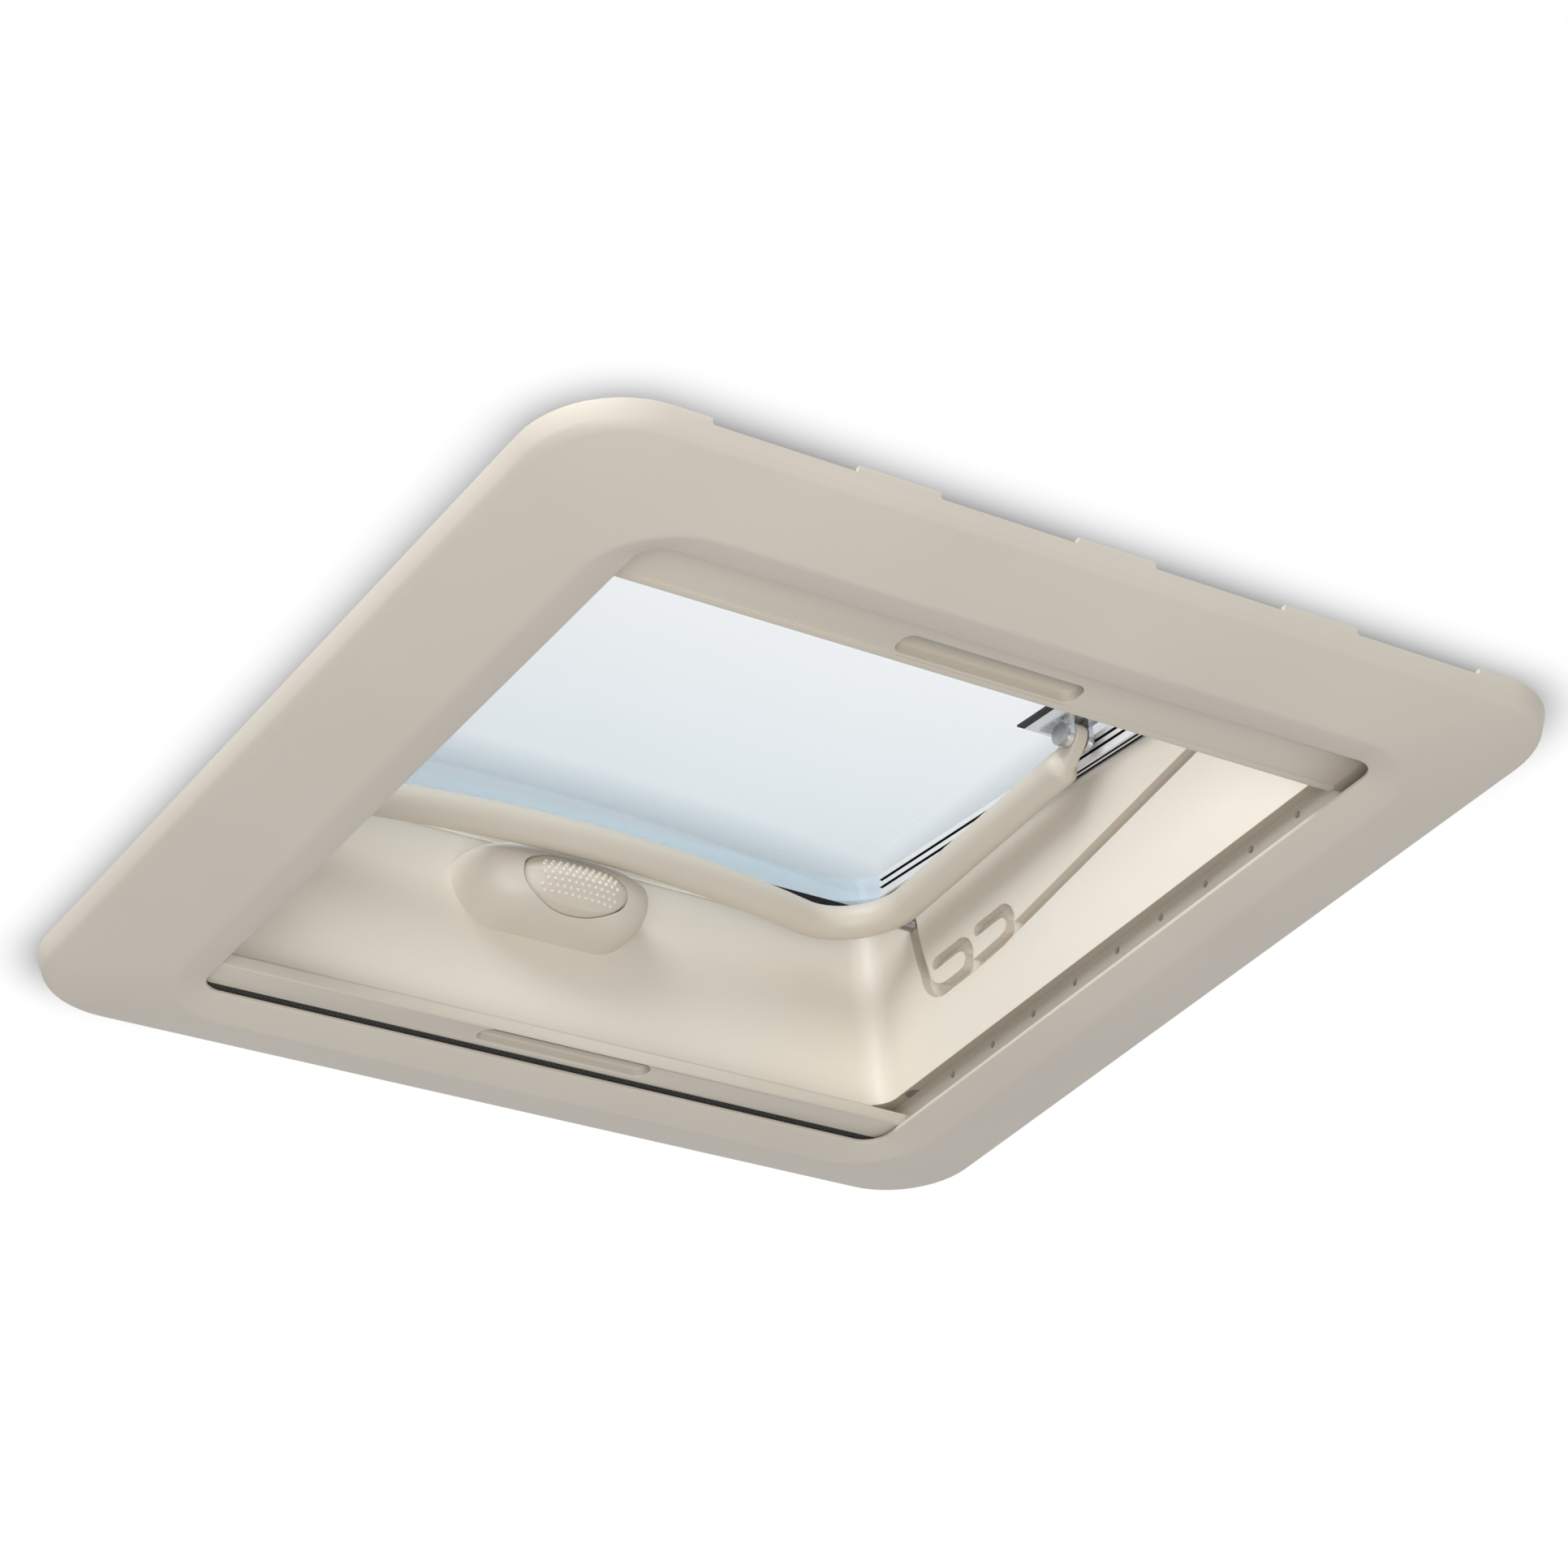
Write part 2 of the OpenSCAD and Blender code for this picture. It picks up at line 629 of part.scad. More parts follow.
module edge_frame() color("#3a3c3e") on_lid() translate([0, lid_c, pane_z - 3]) linear_extrude(pane_t + 3)
  ring(lid_w, lid_w, lid_r, frame_lip);

module leaf_screw_spots() {
  for (x = [-hinge_x, hinge_x], s = [-18, 18]) translate([x + s, 3.5, 0]) children();
}

module hinge_leaves() color("#c9c9c6") on_lid() for (x = [-hinge_x, hinge_x]) difference() {
  union() {
    rod(x - 9.7, x + 9.7, 0, 0, 2 * knuckle);
    box(x - 9.7, x + 9.7, -4, 4, 0, pane_z - 1);
    box(x - 24, x + 24, -6.7, 8.3, pane_z - 2.5, pane_z);
  }
  rod(x - 30, x + 30, 0, 0, hinge_pin_d + 2 * pin_gap);
  leaf_screw_spots() translate([0, 0, pane_z - 4]) cylinder(h = 8, d = 4 + 2 * pin_gap);
}

module leaf_screws() color("#b5b5b5") on_lid() leaf_screw_spots() {
  translate([0, 0, pane_z - 4.3]) cylinder(h = 1.8, d = 7);
  translate([0, 0, pane_z - 3]) cylinder(h = 3 + pane_t - 0.2, d = 4);
}

// A ribbed rail on the inside of the raised pane
module side_rail() on_lid() {
  x = side_rail_x;
  y0 = tray_c - tray_l / 2 + 53;
  y1 = tray_c + tray_l / 2 - 27;
  z = seal_z + 1.3;
  difference() {
    box(x, tray_w / 2, y0, y1, z, z + rail_h);
    for (i = [0:2]) box(x + 1.5 + i * 2.6, x + 2.8 + i * 2.6, y0 - 1, y1 + 1, z - 1, z + 2);
    for (i = [0:1]) box(x - 1, x + 1.5, y0 - 1, y1 + 1, z + 3.7 + i * 4, z + 5.3 + i * 4);
  }
}

module side_rail_right() color("#d5d8da") side_rail();

module side_rail_left() color("#d5d8da") mirror([1, 0, 0]) side_rail();

module bow_brackets() color("#c4c7c9") both_sides() on_lid() difference() {
  union() {
    box(leg_x - 9, side_rail_x - 1, pivot_ly - 14, pivot_ly + 14, bracket_z, ceiling_z - pad_t);
    for (x = [cheek_in - cheek_t, cheek_out]) {
      box(x, x + cheek_t, pivot_ly - 6, pivot_ly + 6, pivot_lz, bracket_z + 0.5);
      rod(x, x + cheek_t, pivot_ly, pivot_lz, 12);
    }
  }
  rod(leg_x - 20, leg_x + 20, pivot_ly, pivot_lz, bolt_d + 2 * pin_gap);
}

module bracket_pads() color("#1d1d1d") both_sides() on_lid()
  box(leg_x - 19, side_rail_x - 1, pivot_ly - 18, pivot_ly + 18, ceiling_z - pad_t, ceiling_z);

module bow_bolts() color("#a9acad") both_sides() on_lid() {
  rod(cheek_in - cheek_t - 2.4, cheek_in - cheek_t, pivot_ly, pivot_lz, 11);
  rod(cheek_in - cheek_t - 1, cheek_out + cheek_t + 1, pivot_ly, pivot_lz, bolt_d);
  rod(cheek_out + cheek_t, cheek_out + cheek_t + 1.8, pivot_ly, pivot_lz, 9);
}

// One tube: two legs, two round corners and a front bar that curves inwards
module bow_tube() color("#e2d9cb") on_bow() difference() {
  union() {
    both_sides() {
      translate([leg_x, leg_start, -leg_drop]) rotate([-90, 0, 0])
        cylinder(h = leg_end - leg_start, d = bow_d);
      translate([leg_x - bow_r, leg_end, -leg_drop]) rotate_extrude(angle = 90 + bow_phi)
        translate([bow_r, 0]) circle(d = bow_d);
    }
    translate([0, bow_reach + bar_r, -leg_drop]) rotate([0, 0, 270 - bow_phi - 0.1])
      rotate_extrude(angle = 2 * bow_phi + 0.2, $fn = 360) translate([bar_r, 0]) circle(d = bow_d + 0.3);
  }
  both_sides() rod(leg_x - 12, leg_x + 30, stud_reach, -leg_drop, 5 + 2 * pin_gap);
}

module bow_eyes() color("#b9b5ab") both_sides() on_bow() difference() {
  union() {
    rod(leg_x - eye_w / 2, leg_x + eye_w / 2, 0, 0, 13);
    box(leg_x - eye_w / 2, leg_x + eye_w / 2, 0, 8, -6, 0);
    box(leg_x - eye_w / 2, leg_x + eye_w / 2, 4, 12, -14, -2);
    translate([leg_x, leg_start - 3, -leg_drop]) rotate([-90, 0, 0]) cylinder(h = 3, d = bow_d);
  }
  rod(leg_x - 10, leg_x + 10, 0, 0, bolt_d + 2 * pin_gap);
}

module bow_studs() color("#a9acad") both_sides() on_bow() {
  rod(leg_x - 11, leg_x + 7, stud_reach, -leg_drop, 5);
  rod(leg_x + 6.2, wall_x - 0.5, stud_reach, -leg_drop, groove_w - 0.6);
}

module blackout_bar() color("#cdc4b7") ceiling() difference() {
  union() {
    box(-bar_x, bar_x, blackout_y - blackout_w, blackout_y, blackout_z, blackout_z + blackout_h);
    box(-bar_x, bar_x, blackout_y - 3.4, blackout_y, blackout_z - 1, blackout_z + 1);
  }
  translate([0, blackout_y - 11, blackout_z - 2]) linear_extrude(7) rounded(scoop_l, 13, 5);
}

module blackout_shoes() color("#b7b0a4") ceiling() both_sides()
  box(bar_x, shoe_x, blackout_y - blackout_w, blackout_y, blackout_z + 0.2, blackout_z + blackout_h - 0.2);

module flyscreen_bar() color("#cdc4b7") ceiling() difference() {
  box(-bar_x, bar_x, screen_y, screen_y + screen_w, screen_z, screen_z + screen_h);
  translate([0, screen_y + 7, screen_z - 2]) linear_extrude(6.6) rounded(scoop_l, 11, 5);
}

module flyscreen_shoes() color("#b7b0a4") ceiling() both_sides()
  box(bar_x, shoe_x, screen_y, screen_y + screen_w, screen_z + 0.2, screen_z + screen_h - 0.2);
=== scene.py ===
import math

import bmesh
import bpy
from mathutils import Matrix, Vector


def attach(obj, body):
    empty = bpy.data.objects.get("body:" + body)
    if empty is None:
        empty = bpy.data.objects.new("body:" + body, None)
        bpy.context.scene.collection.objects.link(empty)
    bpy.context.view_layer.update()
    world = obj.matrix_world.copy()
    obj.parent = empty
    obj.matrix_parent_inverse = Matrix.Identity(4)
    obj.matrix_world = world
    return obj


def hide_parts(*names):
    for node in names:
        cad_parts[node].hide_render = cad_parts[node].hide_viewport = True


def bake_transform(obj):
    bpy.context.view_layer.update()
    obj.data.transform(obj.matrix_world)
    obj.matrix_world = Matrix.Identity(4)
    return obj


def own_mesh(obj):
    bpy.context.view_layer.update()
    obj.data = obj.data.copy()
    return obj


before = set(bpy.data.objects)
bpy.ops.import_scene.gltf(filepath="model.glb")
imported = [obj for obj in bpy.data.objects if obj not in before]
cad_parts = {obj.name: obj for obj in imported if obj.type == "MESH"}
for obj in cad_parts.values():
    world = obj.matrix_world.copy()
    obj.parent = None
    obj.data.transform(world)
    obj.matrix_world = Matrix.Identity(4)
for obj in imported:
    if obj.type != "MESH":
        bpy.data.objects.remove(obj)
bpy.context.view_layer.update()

scene = bpy.context.scene
scene.view_settings.view_transform = "Standard"
mm = 0.001
tiny = 0.00001  # points nearer than this count as one
ceilingZ = 0.0208  # the ceiling over the foot of the trim frame
print("frame loaded:", len(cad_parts), "nodes")

# camera at the photograph's angle: low, looking up into the shaft
cameraSet = {
    "place": (-0.9201, -1.2882, -0.9280),
    "right": (0.8357, -0.5439, -0.0758),
    "forward": (0.4970, 0.6903, 0.5259),
    "lens": 99.14,
    "sensor": 36.0,
}


def placeCamera(look):
    bpy.ops.object.camera_add()
    camera = bpy.context.object
    camera.name = "camera"
    forward = Vector(look["forward"]).normalized()
    right = Vector(look["right"])
    right = (right - forward * right.dot(forward)).normalized()
    up = right.cross(forward)
    turn = Matrix((right, up, -forward)).transposed().to_4x4()
    camera.matrix_world = Matrix.Translation(look["place"]) @ turn
    camera.data.lens = look["lens"]
    camera.data.sensor_width = look["sensor"]
    scene.camera = camera


placeCamera(cameraSet)
print("camera set")


# finishes
def tint(red, green, blue):  # eye colour, 0 to 255, to linear light
    steps = [c / 255 for c in (red, green, blue)]
    return tuple(s / 12.92 if s <= 0.04045 else ((s + 0.055) / 1.055) ** 2.4 for s in steps) + (1.0,)


def startFinish(name):
    finish = bpy.data.materials.new(name)
    finish.use_nodes = True
    nodes = finish.node_tree.nodes
    coords = nodes.new("ShaderNodeTexCoord")
    return finish, nodes, finish.node_tree.links, nodes["Principled BSDF"], coords.outputs["Object"]


def addSplit(nodes, links, source):
    split = nodes.new("ShaderNodeSeparateXYZ")
    links.new(source, split.inputs["Vector"])
    return split.outputs["X"], split.outputs["Y"], split.outputs["Z"]


def addNoise(nodes, links, source, scale, detail=2.0):
    noise = nodes.new("ShaderNodeTexNoise")
    noise.inputs["Scale"].default_value = scale
    noise.inputs["Detail"].default_value = detail
    links.new(source, noise.inputs["Vector"])
    return noise.outputs["Fac"]


def addBump(nodes, links, height, strength, distance):
    bump = nodes.new("ShaderNodeBump")
    bump.inputs["Strength"].default_value = strength
    bump.inputs["Distance"].default_value = distance
    links.new(height, bump.inputs["Height"])
    return bump.outputs["Normal"]


def addRamp(nodes, links, source, low, high, start=0.3, end=0.7):
    ramp = nodes.new("ShaderNodeValToRGB")
    ramp.color_ramp.elements[0].position = start
    ramp.color_ramp.elements[0].color = low
    ramp.color_ramp.elements[1].position = end
    ramp.color_ramp.elements[1].color = high
    links.new(source, ramp.inputs["Fac"])
    return ramp.outputs["Color"]


def addRange(nodes, links, source, low, high, start=0.0, end=1.0):
    span = nodes.new("ShaderNodeMapRange")
    for socket, value in (("From Min", start), ("From Max", end), ("To Min", low), ("To Max", high)):
        span.inputs[socket].default_value = value
    links.new(source, span.inputs["Value"])
    return span.outputs["Result"]


def addMath(nodes, links, operation, first, second=0.0):  # a number or a socket each
    part = nodes.new("ShaderNodeMath")
    part.operation = operation
    for slot, value in enumerate((first, second)):
        if isinstance(value, float):
            part.inputs[slot].default_value = value
        else:
            links.new(value, part.inputs[slot])
    return part.outputs[0]


def dress(links, shader, colour, gloss, bump=None):
    links.new(colour, shader.inputs["Base Color"])
    links.new(gloss, shader.inputs["Roughness"])
    if bump is not None:
        links.new(bump, shader.inputs["Normal"])


# moulded plastics and rubber: two close tints, gloss, grain size, grain depth and shine
finishLooks = {
    "trimPlastic": {"low": tint(217, 209, 197), "high": tint(222, 214, 202), "rough": (0.42, 0.52),
                    "grain": 1400, "depth": 0.12, "level": 0.35},
    "shaftPlastic": {"low": tint(235, 227, 215), "high": tint(239, 232, 220), "rough": (0.34, 0.44),
                     "grain": 1300, "depth": 0.06, "level": 0.4},
    # the pod's plastic is the shaft's plastic made a little darker: painted shade on the pod
    "podPlasticPaintedShade": {"low": tint(219, 211, 200), "high": tint(223, 216, 205), "rough": (0.38, 0.48),
                   "grain": 1300, "depth": 0.06, "level": 0.35},
    "bowPlastic": {"low": tint(214, 206, 193), "high": tint(219, 211, 198), "rough": (0.36, 0.46),
                   "grain": 1500, "depth": 0.08, "level": 0.4},
    "railPlastic": {"low": tint(180, 173, 162), "high": tint(187, 180, 169), "rough": (0.45, 0.55),
                    "grain": 1300, "depth": 0.1, "level": 0.3},
    "roofPlastic": {"low": tint(226, 222, 214), "high": tint(232, 228, 220), "rough": (0.42, 0.55),
                    "grain": 900, "depth": 0.16, "level": 0.35},
    "edgePlastic": {"low": tint(206, 208, 208), "high": tint(214, 216, 216), "rough": (0.45, 0.6),
                    "grain": 1100, "depth": 0.16, "level": 0.35},
    "rubber": {"low": tint(28, 28, 29), "high": tint(36, 36, 36), "rough": (0.6, 0.78),
               "grain": 1600, "depth": 0.25, "level": 0.25},
}
mouldLook = {"cloud": 9, "cloudDetail": 3, "grainDepth": 0.0003}


def mouldedFinish(name, look):
    finish, nodes, links, shader, place = startFinish(name)
    cloud = addNoise(nodes, links, place, mouldLook["cloud"], mouldLook["cloudDetail"])
    grain = addNoise(nodes, links, place, look["grain"])
    colour = addRamp(nodes, links, cloud, look["low"], look["high"])
    gloss = addRange(nodes, links, grain, *look["rough"])
    dress(links, shader, colour, gloss, addBump(nodes, links, grain, look["depth"], mouldLook["grainDepth"]))
    shader.inputs["Specular IOR Level"].default_value = look["level"]
    return finish


wallShade = {
    "edge": {"under": 0.0263, "share": (0.6, 0.585, 0.565, 1.0)},
    "groove": {"past": 0.1862, "turned": 0.6, "share": (0.83, 0.82, 0.81, 1.0)},
    "top": {"from": 0.045, "to": 0.125, "share": (0.79, 0.785, 0.785, 1.0)},
}


def shadeWall(finish, look):  # lower edge, sides of the winding groove and the part under the lid lie in shade
    nodes, links = finish.node_tree.nodes, finish.node_tree.links

    def work(operation, first, second=0.0):
        return addMath(nodes, links, operation, first, second)

    coords = nodes.new("ShaderNodeTexCoord")
    x, _, z = addSplit(nodes, links, coords.outputs["Object"])
    facing = addSplit(nodes, links, coords.outputs["Normal"])[0]
    edge, groove, top = look["edge"], look["groove"], look["top"]
    atEdge = work("LESS_THAN", z, edge["under"])
    turned = work("LESS_THAN", work("ABSOLUTE", facing), groove["turned"])
    inGroove = work("MULTIPLY", work("GREATER_THAN", work("ABSOLUTE", x), groove["past"]), turned)
    climb = addRange(nodes, links, z, 0.0, 1.0, top["from"], top["to"])
    target = nodes["Principled BSDF"].inputs["Base Color"]
    colour = target.links[0].from_socket
    for spot, share in ((atEdge, edge["share"]), (inGroove, groove["share"]), (climb, top["share"])):
        dim = nodes.new("ShaderNodeMixRGB")
        dim.blend_type = "MULTIPLY"
        dim.inputs["Color2"].default_value = share
        links.new(spot, dim.inputs["Fac"])
        links.new(colour, dim.inputs["Color1"])
        colour = dim.outputs["Color"]
    links.new(colour, target)
    return finish


metalLooks = {
    "brightAluminium": {"low": tint(206, 209, 212), "high": tint(220, 223, 226), "rough": (0.22, 0.34),
                        "brush": (14, 900, 900), "bump": (0.08, 0.0002)},
    "zincSteel": {"low": tint(168, 170, 172), "high": tint(188, 190, 191), "rough": (0.25, 0.4),
                  "brush": (300, 300, 300), "bump": (0.08, 0.0002)},
}


def metalFinish(name, look):
    finish, nodes, links, shader, place = startFinish(name)
    mapping = nodes.new("ShaderNodeMapping")
    mapping.inputs["Scale"].default_value = look["brush"]
    links.new(place, mapping.inputs["Vector"])
    brush = addNoise(nodes, links, mapping.outputs["Vector"], 1.0)
    colour = addRamp(nodes, links, brush, look["low"], look["high"])
    gloss = addRange(nodes, links, brush, *look["rough"])
    dress(links, shader, colour, gloss, addBump(nodes, links, brush, *look["bump"]))
    shader.inputs["Metallic"].default_value = 1.0
    return finish


scoopPlaces = {"blackoutScoop": (-0.1652, -0.1524), "flyscreenScoop": (0.1728, 0.1842)}
scoopLook = {"deep": tint(150, 143, 133), "lip": tint(213, 205, 192), "ramp": (0.05, 0.9), "grain": 1400,
             "rough": (0.42, 0.52), "level": 0.3}


def scoopFinish(name, start, end, look):  # finger scoop, deep side in shade
    finish, nodes, links, shader, place = startFinish(name)
    across = addRange(nodes, links, addSplit(nodes, links, place)[1], 0.0, 1.0, start, end)
    colour = addRamp(nodes, links, across, look["deep"], look["lip"], *look["ramp"])
    grain = addNoise(nodes, links, place, look["grain"])
    dress(links, shader, colour, addRange(nodes, links, grain, *look["rough"]))
    shader.inputs["Specular IOR Level"].default_value = look["level"]
    return finish


acrylicLooks = {
    "paneAcrylic": {"low": tint(96, 186, 224), "high": tint(120, 200, 232), "alpha": (0.0, 0.15),
                    "span": (-0.12, 0.2)},
    "domeAcrylic": {"low": tint(190, 214, 226), "high": tint(202, 222, 232), "alpha": (0.045, 0.06),
                    "span": (-0.2, 0.2),
                    "wall": {"middle": 0.009, "from": 0.188, "to": 0.218, "alpha": 0.26}},
}
sheetLook = {"cloud": 5, "ripple": 28, "rippleDetail": 1, "bump": (0.06, 0.002), "rough": (0.05, 0.1), "bend": 1.49}


def acrylicFinish(name, look):  # clearer at the hinge, denser towards the lock
    finish, nodes, links, shader, place = startFinish(name)
    cloud = addNoise(nodes, links, place, sheetLook["cloud"])
    ripple = addNoise(nodes, links, place, sheetLook["ripple"], sheetLook["rippleDetail"])
    colour = addRamp(nodes, links, cloud, look["low"], look["high"])
    gloss = addRange(nodes, links, cloud, *sheetLook["rough"])
    dress(links, shader, colour, gloss, addBump(nodes, links, ripple, *sheetLook["bump"]))
    x, y, _ = addSplit(nodes, links, place)
    alpha = addRange(nodes, links, y, *look["alpha"], *look["span"])
    if "wall" in look:  # the dome's upright wall is seen along its thickness
        wall = look["wall"]
        across = addMath(nodes, links, "ABSOLUTE", x)
        along = addMath(nodes, links, "ABSOLUTE", addMath(nodes, links, "ADD", y, wall["middle"]))
        rim = addMath(nodes, links, "MAXIMUM", across, along)
        rim = addRange(nodes, links, rim, 0.0, wall["alpha"], wall["from"], wall["to"])
        alpha = addMath(nodes, links, "ADD", alpha, rim)
    links.new(alpha, shader.inputs["Alpha"])
    shader.inputs["IOR"].default_value = sheetLook["bend"]
    return finish


sharpStep = (0.4, 0.6)  # from one tint to the other at once
padLook = {"clear": tint(226, 236, 241), "dark": tint(24, 24, 25), "edge": 0.1562, "alpha": 0.4, "grain": 900,
           "rough": (0.3, 0.45)}


def padFinish(name, look):  # clear foot with a dark strip along its inner edge
    finish, nodes, links, shader, place = startFinish(name)
    over = addMath(nodes, links, "ABSOLUTE", addSplit(nodes, links, place)[0])
    over = addMath(nodes, links, "GREATER_THAN", over, look["edge"])
    colour = addRamp(nodes, links, over, look["dark"], look["clear"], *sharpStep)
    grain = addNoise(nodes, links, place, look["grain"])
    dress(links, shader, colour, addRange(nodes, links, grain, *look["rough"]))
    links.new(addRange(nodes, links, over, 1.0, look["alpha"]), shader.inputs["Alpha"])
    return finish


stripeLook = {
    "metal": tint(246, 247, 248), "dark": tint(18, 18, 19), "first": 0.18245, "pitch": 0.0026, "share": 0.52,
    "side": {"face": 0.18106, "from": 0.0024, "to": 0.0098, "tilt": math.radians(6.1)},
    "grain": 240, "rough": (0.26, 0.34), "bare": 0.2,
}


def stripeFinish(name, look, rail):  # bright extrusion with dark grooves along its foot and its inner side: painted shade in the grooves
    finish, nodes, links, shader, place = startFinish(name)

    def work(operation, first, second=0.0):
        return addMath(nodes, links, operation, first, second)

    x, y, z = addSplit(nodes, links, place)
    across = work("ABSOLUTE", x)
    past = work("SUBTRACT", across, look["first"])
    inFoot = work("LESS_THAN", work("FRACT", work("DIVIDE", past, look["pitch"])), look["share"])
    inFoot = work("MULTIPLY", inFoot, work("GREATER_THAN", past, 0.0))
    side = look["side"]
    rise, run = math.cos(side["tilt"]), math.sin(side["tilt"])
    foot = min(vert.co.z * rise - vert.co.y * run for vert in rail.data.vertices)
    height = work("SUBTRACT", work("MULTIPLY", z, rise), work("MULTIPLY", y, run))
    height = work("SUBTRACT", height, foot)
    inSide = work("MULTIPLY", work("GREATER_THAN", height, side["from"]), work("LESS_THAN", height, side["to"]))
    inSide = work("MULTIPLY", inSide, work("GREATER_THAN", across, side["face"]))
    groove = work("MAXIMUM", inFoot, inSide)
    # painted shade: every face in the groove mask takes the dark tint
    colour = addRamp(nodes, links, groove, look["metal"], look["dark"], *sharpStep)
    grain = addNoise(nodes, links, place, look["grain"])
    dress(links, shader, colour, addRange(nodes, links, grain, *look["rough"]))
    links.new(addRange(nodes, links, groove, look["bare"], 0.0), shader.inputs["Metallic"])
    return finish


weaveLooks = {
    "blackoutFabric": {"low": tint(196, 190, 178), "high": tint(214, 208, 196), "threads": 420, "rough": 0.85,
                       "bump": (0.4, 0.0003)},
    "screenFabric": {"low": tint(66, 66, 65), "high": tint(96, 96, 94), "threads": 560, "rough": 0.8,
                     "bump": (0.4, 0.0003), "alpha": (0.5, 0.78)},
}


def weaveFinish(name, look):  # plain weave on the sheet's own UV, in metres of cloth
    finish, nodes, links, shader, place = startFinish(name)
    turn = look["threads"] * 2 * math.pi
    waves = []
    for axis in addSplit(nodes, links, place.node.outputs["UV"])[:2]:
        waves.append(addMath(nodes, links, "SINE", addMath(nodes, links, "MULTIPLY", axis, turn)))
    lift = addRange(nodes, links, addMath(nodes, links, "MULTIPLY", *waves), 0.0, 1.0, -1.0)
    colour = addRamp(nodes, links, lift, look["low"], look["high"])
    links.new(colour, shader.inputs["Base Color"])
    links.new(addBump(nodes, links, lift, *look["bump"]), shader.inputs["Normal"])
    shader.inputs["Roughness"].default_value = look["rough"]
    if "alpha" in look:  # open mesh
        links.new(addRange(nodes, links, lift, *look["alpha"]), shader.inputs["Alpha"])
    return finish


finishes = {name: mouldedFinish(name, look) for name, look in finishLooks.items()}
finishes["shaftWall"] = shadeWall(mouldedFinish("shaftWall", finishLooks["shaftPlastic"]), wallShade)
finishes.update({name: scoopFinish(name, *span, scoopLook) for name, span in scoopPlaces.items()})
finishes.update({name: metalFinish(name, look) for name, look in metalLooks.items()})
finishes.update({name: acrylicFinish(name, look) for name, look in acrylicLooks.items()})
finishes.update({name: weaveFinish(name, look) for name, look in weaveLooks.items()})
finishes["bracketFoot"] = padFinish("bracketFoot", padLook)
finishes["stripedRail"] = stripeFinish("stripedRail", stripeLook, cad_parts["side_rail_left"])

nodeFinishes = {
    "trimPlastic": ["trim_frame", "blackout_cassette", "flyscreen_cassette"],
    "shaftPlastic": ["lock_housing"],
    "shaftWall": ["shaft"],
    "bowPlastic": ["bow_tube", "bow_eyes", "lock_button", "lock_latch", "blackout_bar", "flyscreen_bar",
                   "blackout_shoes", "flyscreen_shoes"],
    "railPlastic": ["guide_rail_left", "guide_rail_right"],
    "roofPlastic": ["roof_frame"],
    "edgePlastic": ["edge_frame"],
    "rubber": ["roof_seal", "lid_seal"],
    "brightAluminium": ["bow_brackets", "hinge_brackets", "hinge_leaves"],
    "stripedRail": ["side_rail_left", "side_rail_right"],
    "zincSteel": ["clamp_screws", "hinge_screws", "hinge_pins", "lock_screws", "lock_spring", "leaf_screws",
                  "bow_bolts", "bow_studs"],
    "paneAcrylic": ["inner_pane"],
    "domeAcrylic": ["outer_dome"],
    "bracketFoot": ["bracket_pads"],
    "blackoutFabric": ["blackout_pleats"],
    "screenFabric": ["flyscreen_pleats"],
}
for finishName, nodeNames in nodeFinishes.items():
    for nodeName in nodeNames:
        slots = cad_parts[nodeName].material_slots
        slots[0].material = finishes[finishName]
print("finishes made:", len(finishes))


# modelling helpers
def deselectAll():
    if bpy.context.object and bpy.context.object.mode != "OBJECT":
        bpy.ops.object.mode_set(mode="OBJECT")
    bpy.ops.object.select_all(action="DESELECT")


def takeUp(piece):  # the only selected and active object
    deselectAll()
    piece.select_set(True)
    bpy.context.view_layer.objects.active = piece


def startEdit(piece):  # edit mode, all of it selected
    takeUp(piece)
    bpy.ops.object.mode_set(mode="EDIT")
    bpy.ops.mesh.select_all(action="SELECT")


def turnOutward(piece):
    startEdit(piece)
    bpy.ops.mesh.normals_make_consistent(inside=False)
    bpy.ops.object.mode_set(mode="OBJECT")


def smoothOver(piece, angle):
    takeUp(piece)
    bpy.ops.object.shade_smooth_by_angle(angle=math.radians(angle))


def applyAll(piece):
    takeUp(piece)
    for modifier in list(piece.modifiers):
        bpy.ops.object.modifier_apply(modifier=modifier.name)


def settle(piece):  # place and size go into the mesh
    takeUp(piece)
    bpy.ops.object.transform_apply(location=True, rotation=True, scale=True)


def roundOff(piece, size, segments, test):  # the edges whose two ends pass the test
    takeUp(piece)
    bpy.ops.object.mode_set(mode="EDIT")
    bpy.ops.mesh.select_mode(type="EDGE")
    shape = bmesh.from_edit_mesh(piece.data)
    for edge in shape.edges:
        edge.select = test(edge.verts[0].co, edge.verts[1].co)
    shape.select_flush_mode()
    bmesh.update_edit_mesh(piece.data)
    bpy.ops.mesh.bevel(offset=size * mm, segments=segments, affect="EDGES")
    bpy.ops.object.mode_set(mode="OBJECT")


def joinAll(pieces):  # into the first
    takeUp(pieces[0])
    for piece in pieces[1:]:
        piece.select_set(True)
    bpy.ops.object.join()
    return pieces[0]


def cutAway(piece, cutter):
    cut = piece.modifiers.new("cut", "BOOLEAN")
    cut.operation = "DIFFERENCE"
    cut.object = cutter
    applyAll(piece)
    bpy.data.objects.remove(cutter)


def ownCopy(piece, shift):
    other = piece.copy()
    other.data = piece.data.copy()
    scene.collection.objects.link(other)
    other.data.transform(Matrix.Translation(shift))
    return other


